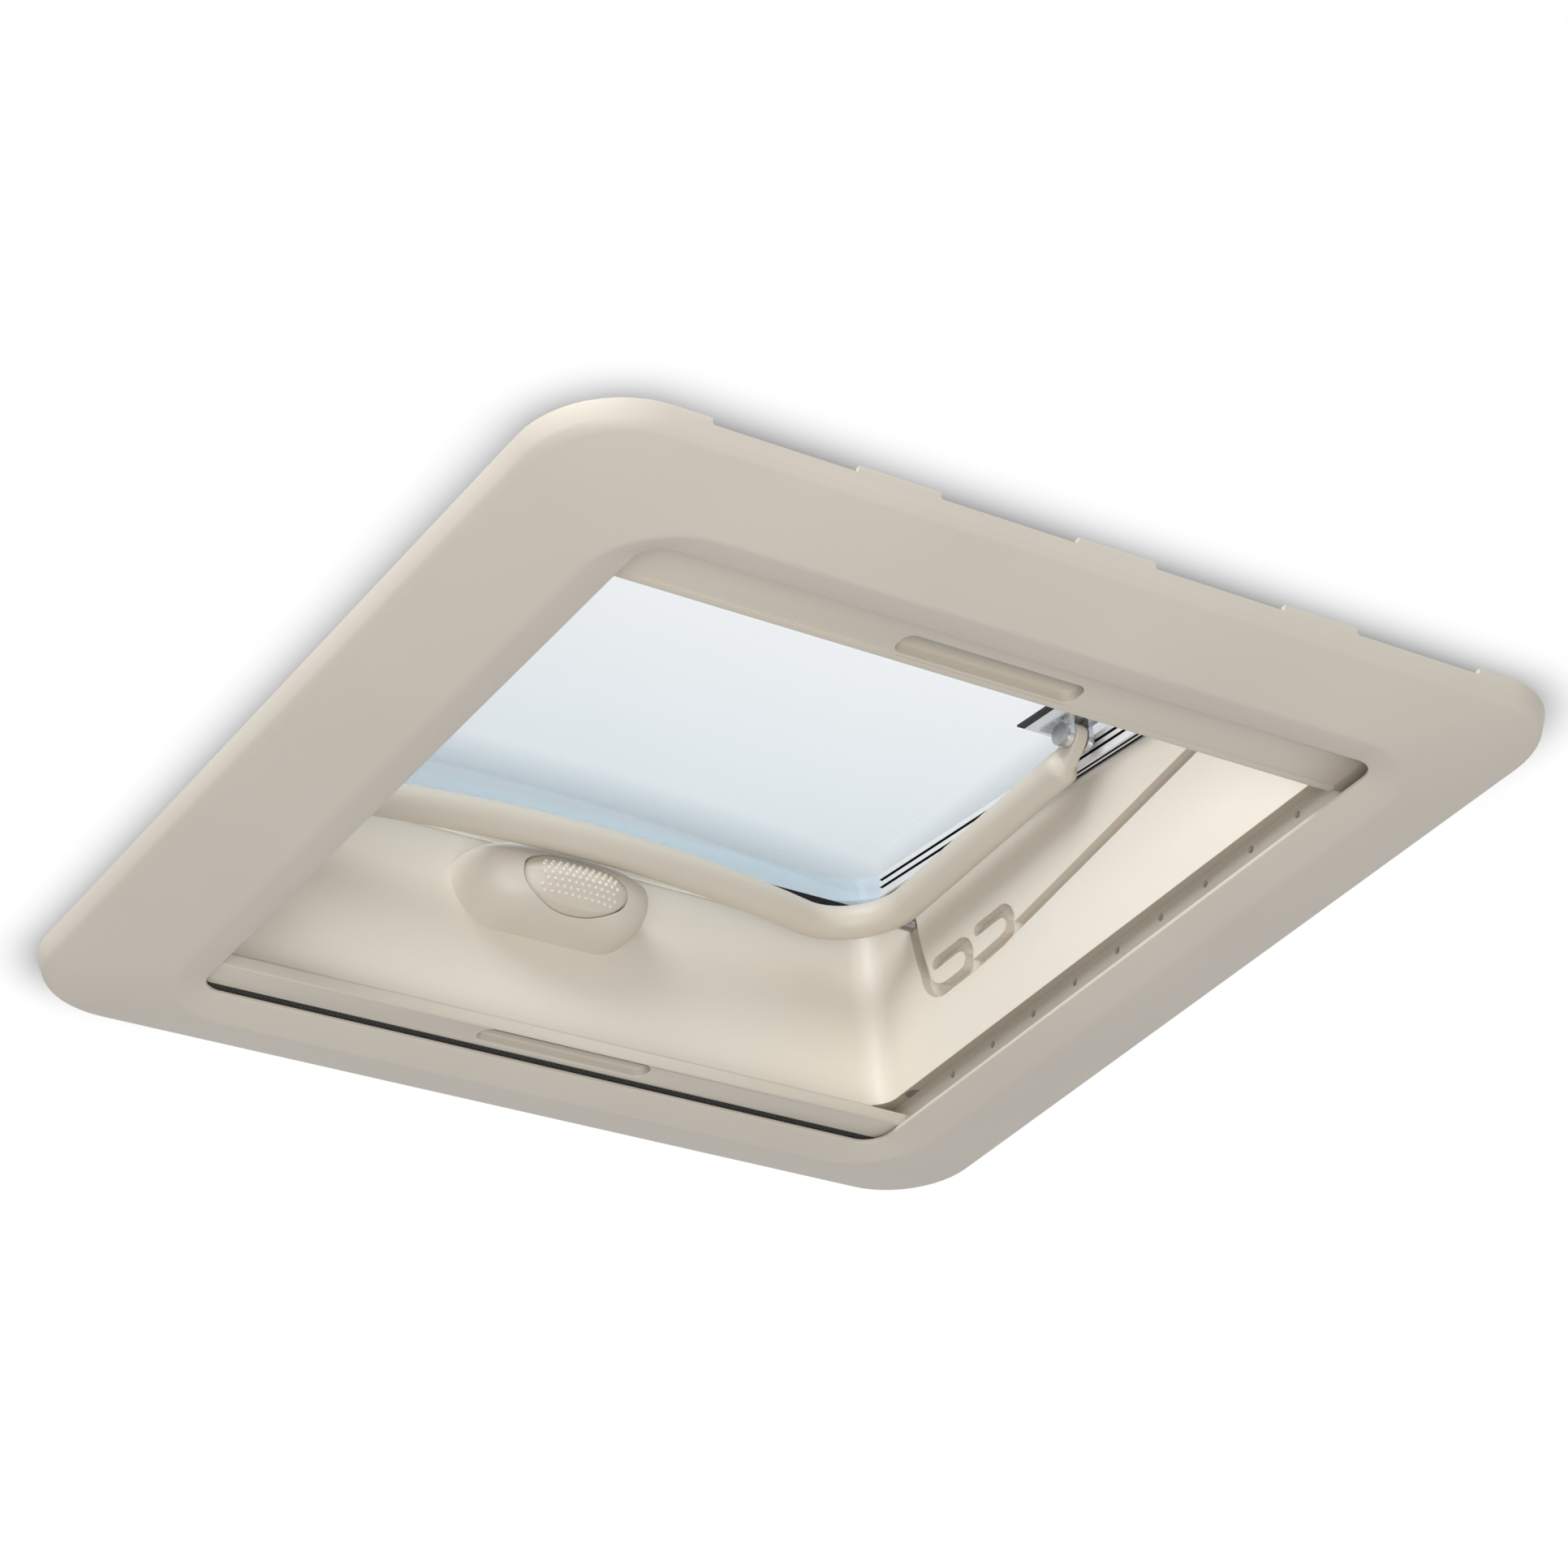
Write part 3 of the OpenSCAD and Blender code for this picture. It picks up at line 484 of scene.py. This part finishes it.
def stackLoops(loops, place, radius=0.03):  # a circle set on the first loop, then extruded from loop to loop
    deselectAll()
    bpy.ops.mesh.primitive_circle_add(vertices=len(loops[0]), radius=radius, fill_type="NOTHING", location=place)
    piece = bpy.context.object
    settle(piece)
    startEdit(piece)
    for number, loop in enumerate(loops):
        if number:
            bpy.ops.mesh.extrude_edges_move()
        shape = bmesh.from_edit_mesh(piece.data)
        for vert, spot in zip([v for v in shape.verts if v.select], loop):
            vert.co = spot
        bmesh.update_edit_mesh(piece.data)
    return piece


def pickOpenEdges():  # in edit mode
    bpy.ops.mesh.select_mode(type="EDGE")
    bpy.ops.mesh.select_all(action="DESELECT")
    bpy.ops.mesh.select_non_manifold()


def paint(piece, name, finish):
    piece.name = name
    piece.data.materials.clear()
    piece.data.materials.append(finishes[finish])


def wear(piece, name, finish, body, slot, *nodes):
    paint(piece, name, finish)
    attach(piece, body)
    if nodes:
        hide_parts(*nodes)


def overCeiling(x, y, height):  # millimetres to a point in the frame
    return Vector((x, y, height)) * mm + Vector((0, 0, ceilingZ))


# trim frame: one closed section carried round the opening, edges rounded, then the vent notches
trimSet = {
    # width, length, corner radius, height from the ceiling, shift towards the lock
    "section": [
        (490.0, 490.0, 42.0, 0.0, 0.0),
        (483.4, 483.4, 38.7, -10.2, 0.0),
        (394.6, 413.2, 40.0, -20.8, 2.4),
        (390.6, 409.2, 38.0, -20.8, 2.4),
        (357.8, 376.4, 12.0, -16.6, 2.4),
        (357.8, 376.4, 12.0, -14.6, 2.4),
        (402.0, 415.0, 10.0, -14.6, 2.4),
        (478.4, 478.4, 36.2, -8.8, 0.0),
        (485.0, 485.0, 39.5, 0.0, 0.0),
    ],
    "cornerSteps": 12,
    # row of the section, size and steps of its rounding: rim, inner ring, lip, foot
    "rounds": [(1, 3.2, 6), (2, 0.9, 3), (3, 0.9, 3), (4, 0.5, 3), (5, 0.5, 2), (0, 0.4, 2)],
    "near": 0.002,
    "notch": {"length": 65.0, "pitch": 102.4, "height": 2.6, "depth": 6.0, "place": -243.5, "round": 1.2, "steps": 3,
              "spots": (-1.5, -0.5, 0.5, 1.5)},
    "post": {"size": 4.0, "tall": 15.0, "middle": -7.6, "round": 0.5, "steps": 2, "sides": 24,
             "spots": [(213.15, 120.1), (213.15, -120.1), (120.1, 214.7), (-120.1, 214.7)]},
    "smooth": 32,
}


def roundedLoop(width, length, radius, height, shift, steps):
    loop = []
    for quarter, (sx, sy) in enumerate(((1, 1), (-1, 1), (-1, -1), (1, -1))):
        cx, cy = sx * (width / 2 - radius), sy * (length / 2 - radius) + shift
        for step in range(steps + 1):
            angle = math.radians(90 * quarter + 90 * step / steps)
            loop.append(overCeiling(cx + radius * math.cos(angle), cy + radius * math.sin(angle), height))
    return loop


def makeNotchCutter(look):
    cutters = []
    for spot in look["spots"]:
        deselectAll()
        bpy.ops.mesh.primitive_cube_add(size=1, location=overCeiling(spot * look["pitch"], look["place"], 0))
        cutter = bpy.context.object
        cutter.scale = (look["length"] * mm, look["depth"] * mm, 2 * look["height"] * mm)
        settle(cutter)
        roundOff(cutter, look["round"], look["steps"],
                 lambda a, b: a.z < ceilingZ and b.z < ceilingZ and abs(a.x - b.x) < tiny)
        cutters.append(cutter)
    return joinAll(cutters)


def makePosts(look):
    posts = []
    for x, y in look["spots"]:
        for side in (1, -1):
            deselectAll()
            bpy.ops.mesh.primitive_cylinder_add(
                vertices=look["sides"], radius=look["size"] * mm, depth=look["tall"] * mm,
                location=overCeiling(side * x, side * y, look["middle"]))
            post = bpy.context.object
            settle(post)
            roundOff(post, look["round"], look["steps"], lambda a, b: a.z > ceilingZ - mm and b.z > ceilingZ - mm)
            posts.append(post)
    return posts


def makeTrim(look):
    loops = [roundedLoop(*station, look["cornerSteps"]) for station in look["section"]]
    trim = stackLoops(loops, (0, 0, ceilingZ))
    pickOpenEdges()
    bpy.ops.mesh.bridge_edge_loops()
    turnOutward(trim)
    for row, size, segments in look["rounds"]:
        isOn = lambda co: any((co - spot).length < look["near"] * mm for spot in loops[row])
        roundOff(trim, size, segments, lambda a, b: isOn(a) and isOn(b))
    cutAway(trim, makeNotchCutter(look["notch"]))
    joinAll([trim] + makePosts(look["post"]))
    smoothOver(trim, look["smooth"])
    wear(trim, "trimSkin", "trimPlastic", "frame", "trim_plastic", "trim_frame")


makeTrim(trimSet)
print("trim frame made")

# blinds: bars, shoes and cassettes with softened edges
softSet = {
    "blackout_bar": ("blackoutBarSkin", "bowPlastic", "blackout", "trim_plastic", 0.9, 3),
    "blackout_shoes": ("blackoutShoeSkin", "railPlastic", "blackout", "rail_plastic", 0.5, 2),
    "flyscreen_bar": ("flyscreenBarSkin", "bowPlastic", "flyscreen", "trim_plastic", 0.9, 3),
    "flyscreen_shoes": ("flyscreenShoeSkin", "railPlastic", "flyscreen", "rail_plastic", 0.5, 2),
    "blackout_cassette": ("blackoutCassetteSkin", "trimPlastic", "frame", "trim_plastic", 0.3, 2),
    "flyscreen_cassette": ("flyscreenCassetteSkin", "trimPlastic", "frame", "trim_plastic", 0.3, 2),
}
softAngles = {"flat": 1, "sharp": 35, "smooth": 40}
scoopSet = {  # half length, hinge side, lock side, floor of the bar over the foot of the trim
    "blackout_bar": {"finish": "blackoutScoop", "half": 44.7, "near": -165.3, "far": -151.9, "over": 16.7},
    "flyscreen_bar": {"finish": "flyscreenScoop", "half": 44.7, "near": 172.8, "far": 184.2, "over": 7.7},
}


def softCopy(node, name, finish, body, slot, width, segments):
    piece = bpy.data.objects.new(name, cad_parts[node].data.copy())
    scene.collection.objects.link(piece)
    startEdit(piece)
    bpy.ops.mesh.remove_doubles(threshold=tiny)
    bpy.ops.mesh.dissolve_limited(angle_limit=math.radians(softAngles["flat"]))
    bpy.ops.object.mode_set(mode="OBJECT")
    bevel = piece.modifiers.new("edges", "BEVEL")
    bevel.width = width * mm
    bevel.segments = segments
    bevel.limit_method = "ANGLE"
    bevel.angle_limit = math.radians(softAngles["sharp"])
    applyAll(piece)
    smoothOver(piece, softAngles["smooth"])
    wear(piece, name, finish, body, slot, node)
    return piece


def paintScoop(piece, look):
    piece.data.materials.append(finishes[look["finish"]])
    for face in piece.data.polygons:
        x, y, z = face.center / mm
        inside = abs(x) < look["half"] and look["near"] < y < look["far"] and z > look["over"]
        facesUp = face.normal.z >= 0.5
        if inside and not facesUp:
            face.material_index = 1


for nodeName, values in softSet.items():
    piece = softCopy(nodeName, *values)
    if nodeName in scoopSet:
        paintScoop(piece, scoopSet[nodeName])
print("bars, shoes and cassettes made")

# folded blinds: one pleated sheet each, running from the cassette at one end to the bar at the other
pleatSets = {
    "blackoutBlind": {"node": "blackout_pleats", "finish": "blackoutFabric", "slot": "blackout_fabric",
                      "body": "blackout", "fixedY": -195.0, "barY": -172.6, "low": -4.3, "high": 2.8, "folds": 26,
                      "width": 369.0, "rests": ["blackoutCassetteSkin"]},
    "flyscreenBlind": {"node": "flyscreen_pleats", "finish": "screenFabric", "slot": "screen_fabric",
                       "body": "flyscreen", "fixedY": 207.8, "barY": 188.5, "low": -13.3, "high": -7.1, "folds": 29,
                       "width": 369.0, "rests": ["flyscreenCassetteSkin"]},
}
swaySet = {"columns": 24, "size": 0.12, "along": 60, "perRow": 1.7}  # pleats don't fold quite straight


def makeBlind(name, look):
    deselectAll()
    rows = 2 * look["folds"]
    bpy.ops.mesh.primitive_grid_add(x_subdivisions=swaySet["columns"], y_subdivisions=rows, size=1)
    blind = bpy.context.object
    width = look["width"] * mm
    step = (look["barY"] - look["fixedY"]) / rows
    path = []
    for row in range(rows + 1):
        path.append(overCeiling(0, look["fixedY"] + step * row, look["low"] if row % 2 else look["high"]))
    reach = [0.0]
    for a, b in zip(path, path[1:]):
        reach.append(reach[-1] + (b - a).length)
    uvs = blind.data.uv_layers.active or blind.data.uv_layers.new(name="cloth")
    rowOf = {}
    for vert in blind.data.vertices:
        row = round((vert.co.y + 0.5) * rows)
        rowOf[vert.index] = row
        x = vert.co.x * width
        sway = swaySet["size"] * mm * math.sin(x * swaySet["along"] + row * swaySet["perRow"])
        vert.co = Vector((x, path[row].y, path[row].z + (sway if 0 < row < rows else 0)))
    for loop in blind.data.loops:
        vert = blind.data.vertices[loop.vertex_index]
        uvs.data[loop.index].uv = (vert.co.x, reach[rowOf[vert.index]])
    paint(blind, name, look["finish"])
    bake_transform(blind)
    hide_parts(look["node"])


for name, look in pleatSets.items():
    makeBlind(name, look)
print("blinds made")

# lock: coil spring behind the button
springSet = {"radius": 4.0, "wire": 0.8, "turns": 6, "startY": 170.1, "endY": 186.1, "height": 87.8,
             "sides": 12, "steps": 28, "smooth": 50, "keep": 0.75}


def makeSpring(look):
    deselectAll()
    bpy.ops.mesh.primitive_circle_add(vertices=look["sides"], radius=look["wire"] * mm, fill_type="NOTHING",
                                      location=(look["radius"] * mm, 0, 0), rotation=(math.radians(90), 0, 0))
    spring = bpy.context.object
    settle(spring)
    length = look["endY"] - look["startY"] - 2 * look["wire"]
    screw = spring.modifiers.new("coil", "SCREW")
    screw.axis = "Z"
    screw.angle = 2 * math.pi
    screw.screw_offset = length / look["turns"] * mm
    screw.iterations = look["turns"]
    screw.steps = look["steps"]
    screw.render_steps = look["steps"]
    applyAll(spring)
    startEdit(spring)
    bpy.ops.mesh.remove_doubles(threshold=tiny)
    pickOpenEdges()
    bpy.ops.mesh.fill_holes(sides=look["sides"])
    turnOutward(spring)
    place = Vector((0, look["startY"] + look["wire"], look["height"])) * mm
    spring.data.transform(Matrix.Translation(place) @ Matrix.Rotation(math.radians(-90), 4, "X"))
    smoothOver(spring, look["smooth"])
    wear(spring, "lockSpring", "zincSteel", "frame", "steel", "lock_spring")
    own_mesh(spring)


makeSpring(springSet)
print("lock spring made")

# lock pod: a soft bulge on the wall, flat below, pointed at its ends, with the button's pocket in its face
podSet = {
    "wallY": 191.1, "half": 49.0, "low": 51.5, "high": 98.0, "middle": 74.0,
    "corner": 25.0, "rise": 18.0, "reach": 33.0, "lean": 21.0, "leanFrom": 66.0, "leanPower": 2.2, "blunt": 3.6,
    "pocketDepth": 5.0, "lipSink": 0.5, "points": 144, "smooth": 50,
    "rings": (0.0, 0.012, 0.05, 0.15, 0.3, 0.46, 0.6, 0.72, 0.82, 0.89, 0.94, 0.97, 0.99, 1.0),
}
buttonSet = {
    "half": 27.0, "tall": 13.0, "oval": 2.35, "middle": 67.0, "gap": 0.6, "back": 21.0,
    "nose": 41.1, "slope": 0.85, "noseRound": 2.5, "sideFall": 6.0, "sidePower": 3, "rimRound": 0.9, "rimPower": 40,
    "rings": (1.0, 0.985, 0.95, 0.88, 0.78, 0.66, 0.53, 0.4, 0.27, 0.14),
}
dotSet = {  # low dots in staggered rows, within a rounded pad
    "size": 1.05, "flat": 0.7, "sink": 0.1, "segments": 12, "rings": 8, "rows": 7, "rowPitch": 2.35, "pitch": 3.5,
    "reach": 8, "middle": 65.5, "half": 21.0, "tall": 9.5, "power": 3,
}


def inPod(x, z):
    look = podSet
    arch = (look["half"] ** 2 + look["rise"] ** 2) / (2 * look["rise"])
    over, under = abs(x) - look["half"] + look["corner"], look["low"] + look["corner"] - z
    rounded = over < 0 or under < 0 or math.hypot(over, under) < look["corner"]
    arched = math.hypot(x, z - look["high"] + arch) < arch
    return abs(x) < look["half"] and z > look["low"] and rounded and arched


def inButton(x, z, gap=0.0):
    across = abs(x) / (buttonSet["half"] + gap)
    along = abs(z - buttonSet["middle"]) / (buttonSet["tall"] + gap)
    return across ** buttonSet["oval"] + along ** buttonSet["oval"] < 1


def edgeAlong(inside, middle, angle, far=120.0, halvings=40):  # distance from the middle to an outline
    near = 0.0
    for _ in range(halvings):
        half = (near + far) / 2
        if inside(half * math.cos(angle), middle + half * math.sin(angle)):
            near = half
        else:
            far = half
    return near


def podReach(x, z):
    look = podSet
    away = math.hypot(x, z - look["middle"])
    share = min(away / edgeAlong(inPod, look["middle"], math.atan2(z - look["middle"], x)), 1.0) if away else 0.0
    lean = max(z - look["leanFrom"], 0) / (look["high"] - look["leanFrom"])
    front = look["reach"] - look["lean"] * lean ** look["leanPower"]
    return front * (1 - share ** look["blunt"]) ** (1 / look["blunt"])


def buttonReach(x, z):
    look = buttonSet
    fall = math.hypot(look["slope"] * (z - look["middle"]), look["noseRound"])
    return look["nose"] - fall - look["sideFall"] * (abs(x) / look["half"]) ** look["sidePower"]


def lockPoint(x, reach, z):
    return overCeiling(x, podSet["wallY"] - reach, z)


def lockAngles():
    turns = [2 * math.pi * n / podSet["points"] for n in range(podSet["points"])]
    return [math.atan2(buttonSet["tall"] * math.sin(t), buttonSet["half"] * math.cos(t)) for t in turns]


def faceRoom(piece):  # faces turned to the room
    turnOutward(piece)
    lean = sum(face.normal.y * face.area for face in piece.data.polygons)
    if lean > 0:
        piece.data.flip_normals()
    smoothOver(piece, podSet["smooth"])


def makePod(look):
    middle = buttonSet["middle"]
    angles = lockAngles()
    inner = [edgeAlong(lambda x, z: inButton(x, z, buttonSet["gap"]), middle, a) for a in angles]
    outer = [edgeAlong(inPod, middle, a) for a in angles]
    loops = [[lockPoint(r * math.cos(a), look["pocketDepth"], middle + r * math.sin(a))
              for r, a in zip(inner, angles)]]
    for ring in look["rings"]:
        loop = []
        for near, far, angle in zip(inner, outer, angles):
            r = near + (far - near) * ring
            x, z = r * math.cos(angle), middle + r * math.sin(angle)
            reach = podReach(x, z) - (0 if ring else look["lipSink"])
            loop.append(lockPoint(x, reach if ring < 1 else 0, z))
        loops.append(loop)
    pod = stackLoops(loops, lockPoint(0, 0, middle))
    faceRoom(pod)
    # painted shade: the pod wears the darker copy of the shaft plastic
    wear(pod, "lockPod", "podPlasticPaintedShade", "frame", "shaft_plastic", "lock_housing")


def makeButton(look):
    angles = lockAngles()
    edge = [edgeAlong(inButton, look["middle"], a) for a in angles]
    loops = [[lockPoint(r * math.cos(a), look["back"], look["middle"] + r * math.sin(a))
              for r, a in zip(edge, angles)]]
    for ring in look["rings"]:
        loop = []
        for far, angle in zip(edge, angles):
            x, z = far * ring * math.cos(angle), look["middle"] + far * ring * math.sin(angle)
            loop.append(lockPoint(x, buttonReach(x, z) - look["rimRound"] * ring ** look["rimPower"], z))
        loops.append(loop)
    button = stackLoops(loops, lockPoint(0, 0, look["middle"]))
    bpy.ops.mesh.edge_face_add()
    faceRoom(button)
    plainFaces = len(button.data.polygons)
    joinAll([button] + makeDots(dotSet))
    wear(button, "lockButtonSkin", "bowPlastic", "button", "bow_plastic", "lock_button")
    # painted highlight: the dots take the lighter shaft plastic so they stand out from the button
    button.data.materials.append(finishes["shaftPlastic"])
    for face in button.data.polygons[plainFaces:]:
        face.material_index = 1


def makeDots(look):
    deselectAll()
    bpy.ops.mesh.primitive_uv_sphere_add(segments=look["segments"], ring_count=look["rings"],
                                         radius=look["size"] * mm)
    first = bpy.context.object
    startEdit(first)
    bpy.ops.transform.resize(value=(1, look["flat"], 1))
    bpy.ops.object.mode_set(mode="OBJECT")
    bpy.ops.object.shade_smooth()
    dots = []
    for row in range(look["rows"]):
        z = look["middle"] + (row - (look["rows"] - 1) / 2) * look["rowPitch"]
        for column in range(-look["reach"], look["reach"] + 1):
            x = (column + (0.5 if row % 2 else 0)) * look["pitch"]
            across, along = abs(x) / look["half"], abs(z - look["middle"]) / look["tall"]
            if across ** look["power"] + along ** look["power"] <= 1:
                dots.append(ownCopy(first, lockPoint(x, buttonReach(x, z) - look["sink"], z)))
    bpy.data.objects.remove(first)
    return dots


makePod(podSet)
makeButton(buttonSet)
print("lock pod and button made")

# bow ends: the tube runs out smoothly into a flat eye round the pivot bolt
bowEndSet = {
    "pivot": (0.0, -3.0, 121.8), "drop": -2.0, "side": 171.0, "points": 32, "smooth": 40,
    "bore": {"radius": 3.1, "depth": 12.0, "sides": 32},
    # along the leg, middle height, half width, half height, squareness
    "stations": [
        (14.0, -9.5, 8.27, 8.27, 2.0),
        (11.3, -9.5, 8.2, 8.25, 2.0),
        (9.6, -9.1, 7.0, 7.95, 2.2),
        (8.0, -8.0, 5.2, 7.4, 2.8),
        (6.5, -6.2, 3.65, 6.9, 4.0),
        (5.0, -4.0, 3.65, 8.1, 6.0),
        (3.0, -2.4, 3.65, 8.1, 6.0),
        (1.0, -1.3, 3.65, 7.7, 6.0),
        (-1.0, -0.5, 3.65, 6.9, 6.0),
        (-3.0, -0.1, 3.65, 5.8, 6.0),
        (-5.0, 0.0, 3.5, 4.1, 5.0),
        (-6.3, 0.0, 3.0, 1.6, 4.0),
    ],
}


def makeBowEnds(look):
    turns = [2 * math.pi * n / look["points"] for n in range(look["points"])]
    place = Matrix.Translation(Vector(look["pivot"]) * mm) @ Matrix.Rotation(math.radians(look["drop"]), 4, "X")
    loops = []
    for along, middle, half, tall, square in look["stations"]:
        loop = []
        for turn in turns:
            c, s = math.cos(turn), math.sin(turn)
            x = math.copysign(abs(c) ** (2 / square), c) * half
            z = math.copysign(abs(s) ** (2 / square), s) * tall + middle
            loop.append(place @ (Vector((x, along, z)) * mm))
        loops.append(loop)
    end = stackLoops(loops, place.translation)
    bpy.ops.mesh.edge_face_add()
    pickOpenEdges()
    bpy.ops.mesh.edge_face_add()
    turnOutward(end)
    bore = look["bore"]
    deselectAll()
    bpy.ops.mesh.primitive_cylinder_add(vertices=bore["sides"], radius=bore["radius"] * mm, depth=bore["depth"] * mm,
                                        location=place.translation, rotation=(0, math.radians(90), 0))
    pin = bpy.context.object
    settle(pin)
    cutAway(end, pin)
    ends = joinAll([ownCopy(end, (side * look["side"] * mm, 0, 0)) for side in (1, -1)])
    bpy.data.objects.remove(end)
    smoothOver(ends, look["smooth"])
    wear(ends, "bowEndSkin", "bowPlastic", "bow", "bow_plastic", "bow_eyes")


makeBowEnds(bowEndSet)
print("bow ends made")

# wall seam: a fine raised line across the lock wall, level with the pod's top
seamSet = {"half": 172.0, "height": 99.2, "tall": 1.1, "proud": 0.6, "round": 0.4, "steps": 3, "smooth": 50}


def makeSeam(look):
    deselectAll()
    place = lockPoint(0, 0, look["height"])
    bpy.ops.mesh.primitive_cube_add(size=1, location=place)
    seam = bpy.context.object
    seam.scale = (2 * look["half"] * mm, 2 * look["proud"] * mm, look["tall"] * mm)
    settle(seam)
    roundOff(seam, look["round"], look["steps"],
             lambda a, b: a.y < place.y and b.y < place.y and abs(a.z - b.z) < tiny)
    smoothOver(seam, look["smooth"])
    wear(seam, "wallSeam", "shaftPlastic", "frame", "shaft_plastic")


makeSeam(seamSet)
print("wall seam made")

# stage: a ceiling seen only from below, a floor seen only from above
ceilingSet = {
    "reach": 3.0,
    "lift": 0.0004,
    "hole": 0.40,
    "shade": {"half": 0.245, "corner": 0.042, "width": 0.024, "depth": 0.45, "from": -0.15, "to": -0.24},
}
floorSet = {"reach": 16.0, "drop": 0.0005, "tint": tint(158, 158, 156), "glow": 0.5, "fade": (0.7, 2.6)}


def oneSided(name, fromBelow):
    finish = bpy.data.materials.new(name)
    finish.use_nodes = True
    nodes, links = finish.node_tree.nodes, finish.node_tree.links
    nodes.remove(nodes["Principled BSDF"])
    side = nodes.new("ShaderNodeNewGeometry")
    clear = nodes.new("ShaderNodeBsdfTransparent")
    mix = nodes.new("ShaderNodeMixShader")
    links.new(side.outputs["Backfacing"], mix.inputs["Fac"])
    links.new(clear.outputs["BSDF"], mix.inputs[1 if fromBelow else 2])
    links.new(mix.outputs["Shader"], nodes["Material Output"].inputs["Surface"])
    return finish, nodes, links, mix.inputs[2 if fromBelow else 1]


def addGlow(nodes, strength=1.0):
    glow = nodes.new("ShaderNodeEmission")
    glow.inputs["Color"].default_value = (1, 1, 1, 1)
    glow.inputs["Strength"].default_value = strength
    return glow


def edgeShade(nodes, links, look):  # soft shade of the trim on the ceiling, along its two near sides
    def work(operation, first, second=0.0):
        return addMath(nodes, links, operation, first, second)

    coords = nodes.new("ShaderNodeTexCoord")
    over, near = [], []
    for axis in addSplit(nodes, links, coords.outputs["Object"])[:2]:
        past = work("SUBTRACT", work("ABSOLUTE", axis), look["half"] - look["corner"])
        past = work("MAXIMUM", past, 0.0)
        over.append(work("MULTIPLY", past, past))
        near.append(addRange(nodes, links, axis, 0.0, 1.0, look["from"], look["to"]))
    away = work("SUBTRACT", work("SQRT", work("ADD", *over)), look["corner"])
    fade = work("MAXIMUM", work("SUBTRACT", 1.0, work("DIVIDE", away, look["width"])), 0.0)
    dim = work("MULTIPLY", work("MULTIPLY", fade, fade), work("MAXIMUM", *near))
    return work("SUBTRACT", 1.0, work("MULTIPLY", dim, look["depth"]))


def setStage(piece, name, finish):  # seen, but out of the light's way
    piece.name = name
    piece.data.materials.append(finish)
    for ray in ("visible_shadow", "visible_diffuse", "visible_glossy", "visible_transmission"):
        setattr(piece, ray, False)


def makeCeiling(look):
    finish, nodes, links, face = oneSided("ceilingPaint", True)
    glow = addGlow(nodes)
    links.new(edgeShade(nodes, links, look["shade"]), glow.inputs["Strength"])
    links.new(glow.outputs["Emission"], face)
    deselectAll()
    bpy.ops.mesh.primitive_plane_add(size=look["hole"], location=(0, 0, ceilingZ + look["lift"]))
    ceiling = bpy.context.object
    settle(ceiling)
    startEdit(ceiling)
    bpy.ops.mesh.delete(type="ONLY_FACE")
    bpy.ops.mesh.select_all(action="SELECT")
    bpy.ops.mesh.extrude_edges_move()
    bpy.ops.transform.resize(value=(2 * look["reach"] / look["hole"],) * 2 + (1,))
    turnOutward(ceiling)
    if ceiling.data.polygons[0].normal.z < 0:
        ceiling.data.flip_normals()
    setStage(ceiling, "ceilingStage", finish)


def makeFloor(look):
    finish, nodes, links, face = oneSided("floorPaint", False)
    coat = nodes.new("ShaderNodeBsdfDiffuse")
    coat.inputs["Color"].default_value = look["tint"]
    both = nodes.new("ShaderNodeAddShader")
    links.new(coat.outputs["BSDF"], both.inputs[0])
    links.new(addGlow(nodes, look["glow"]).outputs["Emission"], both.inputs[1])
    coords = nodes.new("ShaderNodeTexCoord")
    away = nodes.new("ShaderNodeVectorMath")
    away.operation = "LENGTH"
    links.new(coords.outputs["Object"], away.inputs[0])
    fade = addRange(nodes, links, away.outputs["Value"], 0.0, 1.0, *look["fade"])
    fade.node.interpolation_type = "SMOOTHSTEP"
    blend = nodes.new("ShaderNodeMixShader")  # far off, the floor goes over into the background
    links.new(fade, blend.inputs["Fac"])
    links.new(both.outputs["Shader"], blend.inputs[1])
    links.new(addGlow(nodes).outputs["Emission"], blend.inputs[2])
    links.new(blend.outputs["Shader"], face)
    deselectAll()
    bpy.ops.mesh.primitive_plane_add(size=2 * look["reach"], location=(0, 0, -look["drop"]))
    floor = bpy.context.object
    settle(floor)
    setStage(floor, "floorStage", finish)


makeCeiling(ceilingSet)
makeFloor(floorSet)

lampAim = Vector((0, 0, 0.06))
lampSet = {
    "key": {"place": (-1.1, -1.6, -1.3), "size": 1.4, "power": 25.0, "colour": (1.0, 0.99, 0.97)},
    "sky": {"place": (-1.0, -0.6, 1.25), "size": 1.2, "power": 27.0, "colour": (0.98, 0.99, 1.0)},
}
for name, lamp in lampSet.items():
    deselectAll()
    bpy.ops.object.light_add(type="AREA", location=lamp["place"])
    light = bpy.context.object
    light.name = name + "Lamp"
    light.data.shape = "DISK"
    light.data.size = lamp["size"]
    light.data.energy = lamp["power"]
    light.data.color = lamp["colour"]
    light.rotation_euler = (lampAim - Vector(lamp["place"])).to_track_quat("-Z", "Y").to_euler()

worldSet = {"ambient": 0.41, "back": 1.0}
world = bpy.data.worlds.new("studio")
scene.world = world
world.use_nodes = True
sky = world.node_tree.nodes
wires = world.node_tree.links
back = sky["Background"]
back.inputs["Color"].default_value = (1, 1, 1, 1)
rays = sky.new("ShaderNodeLightPath")
anySeen = rays.outputs["Is Camera Ray"]
for rayName in ("Is Glossy Ray", "Is Transmission Ray"):
    anySeen = addMath(sky, wires, "MAXIMUM", anySeen, rays.outputs[rayName])
wires.new(addRange(sky, wires, anySeen, worldSet["ambient"], worldSet["back"]), back.inputs["Strength"])
print("stage and light made")
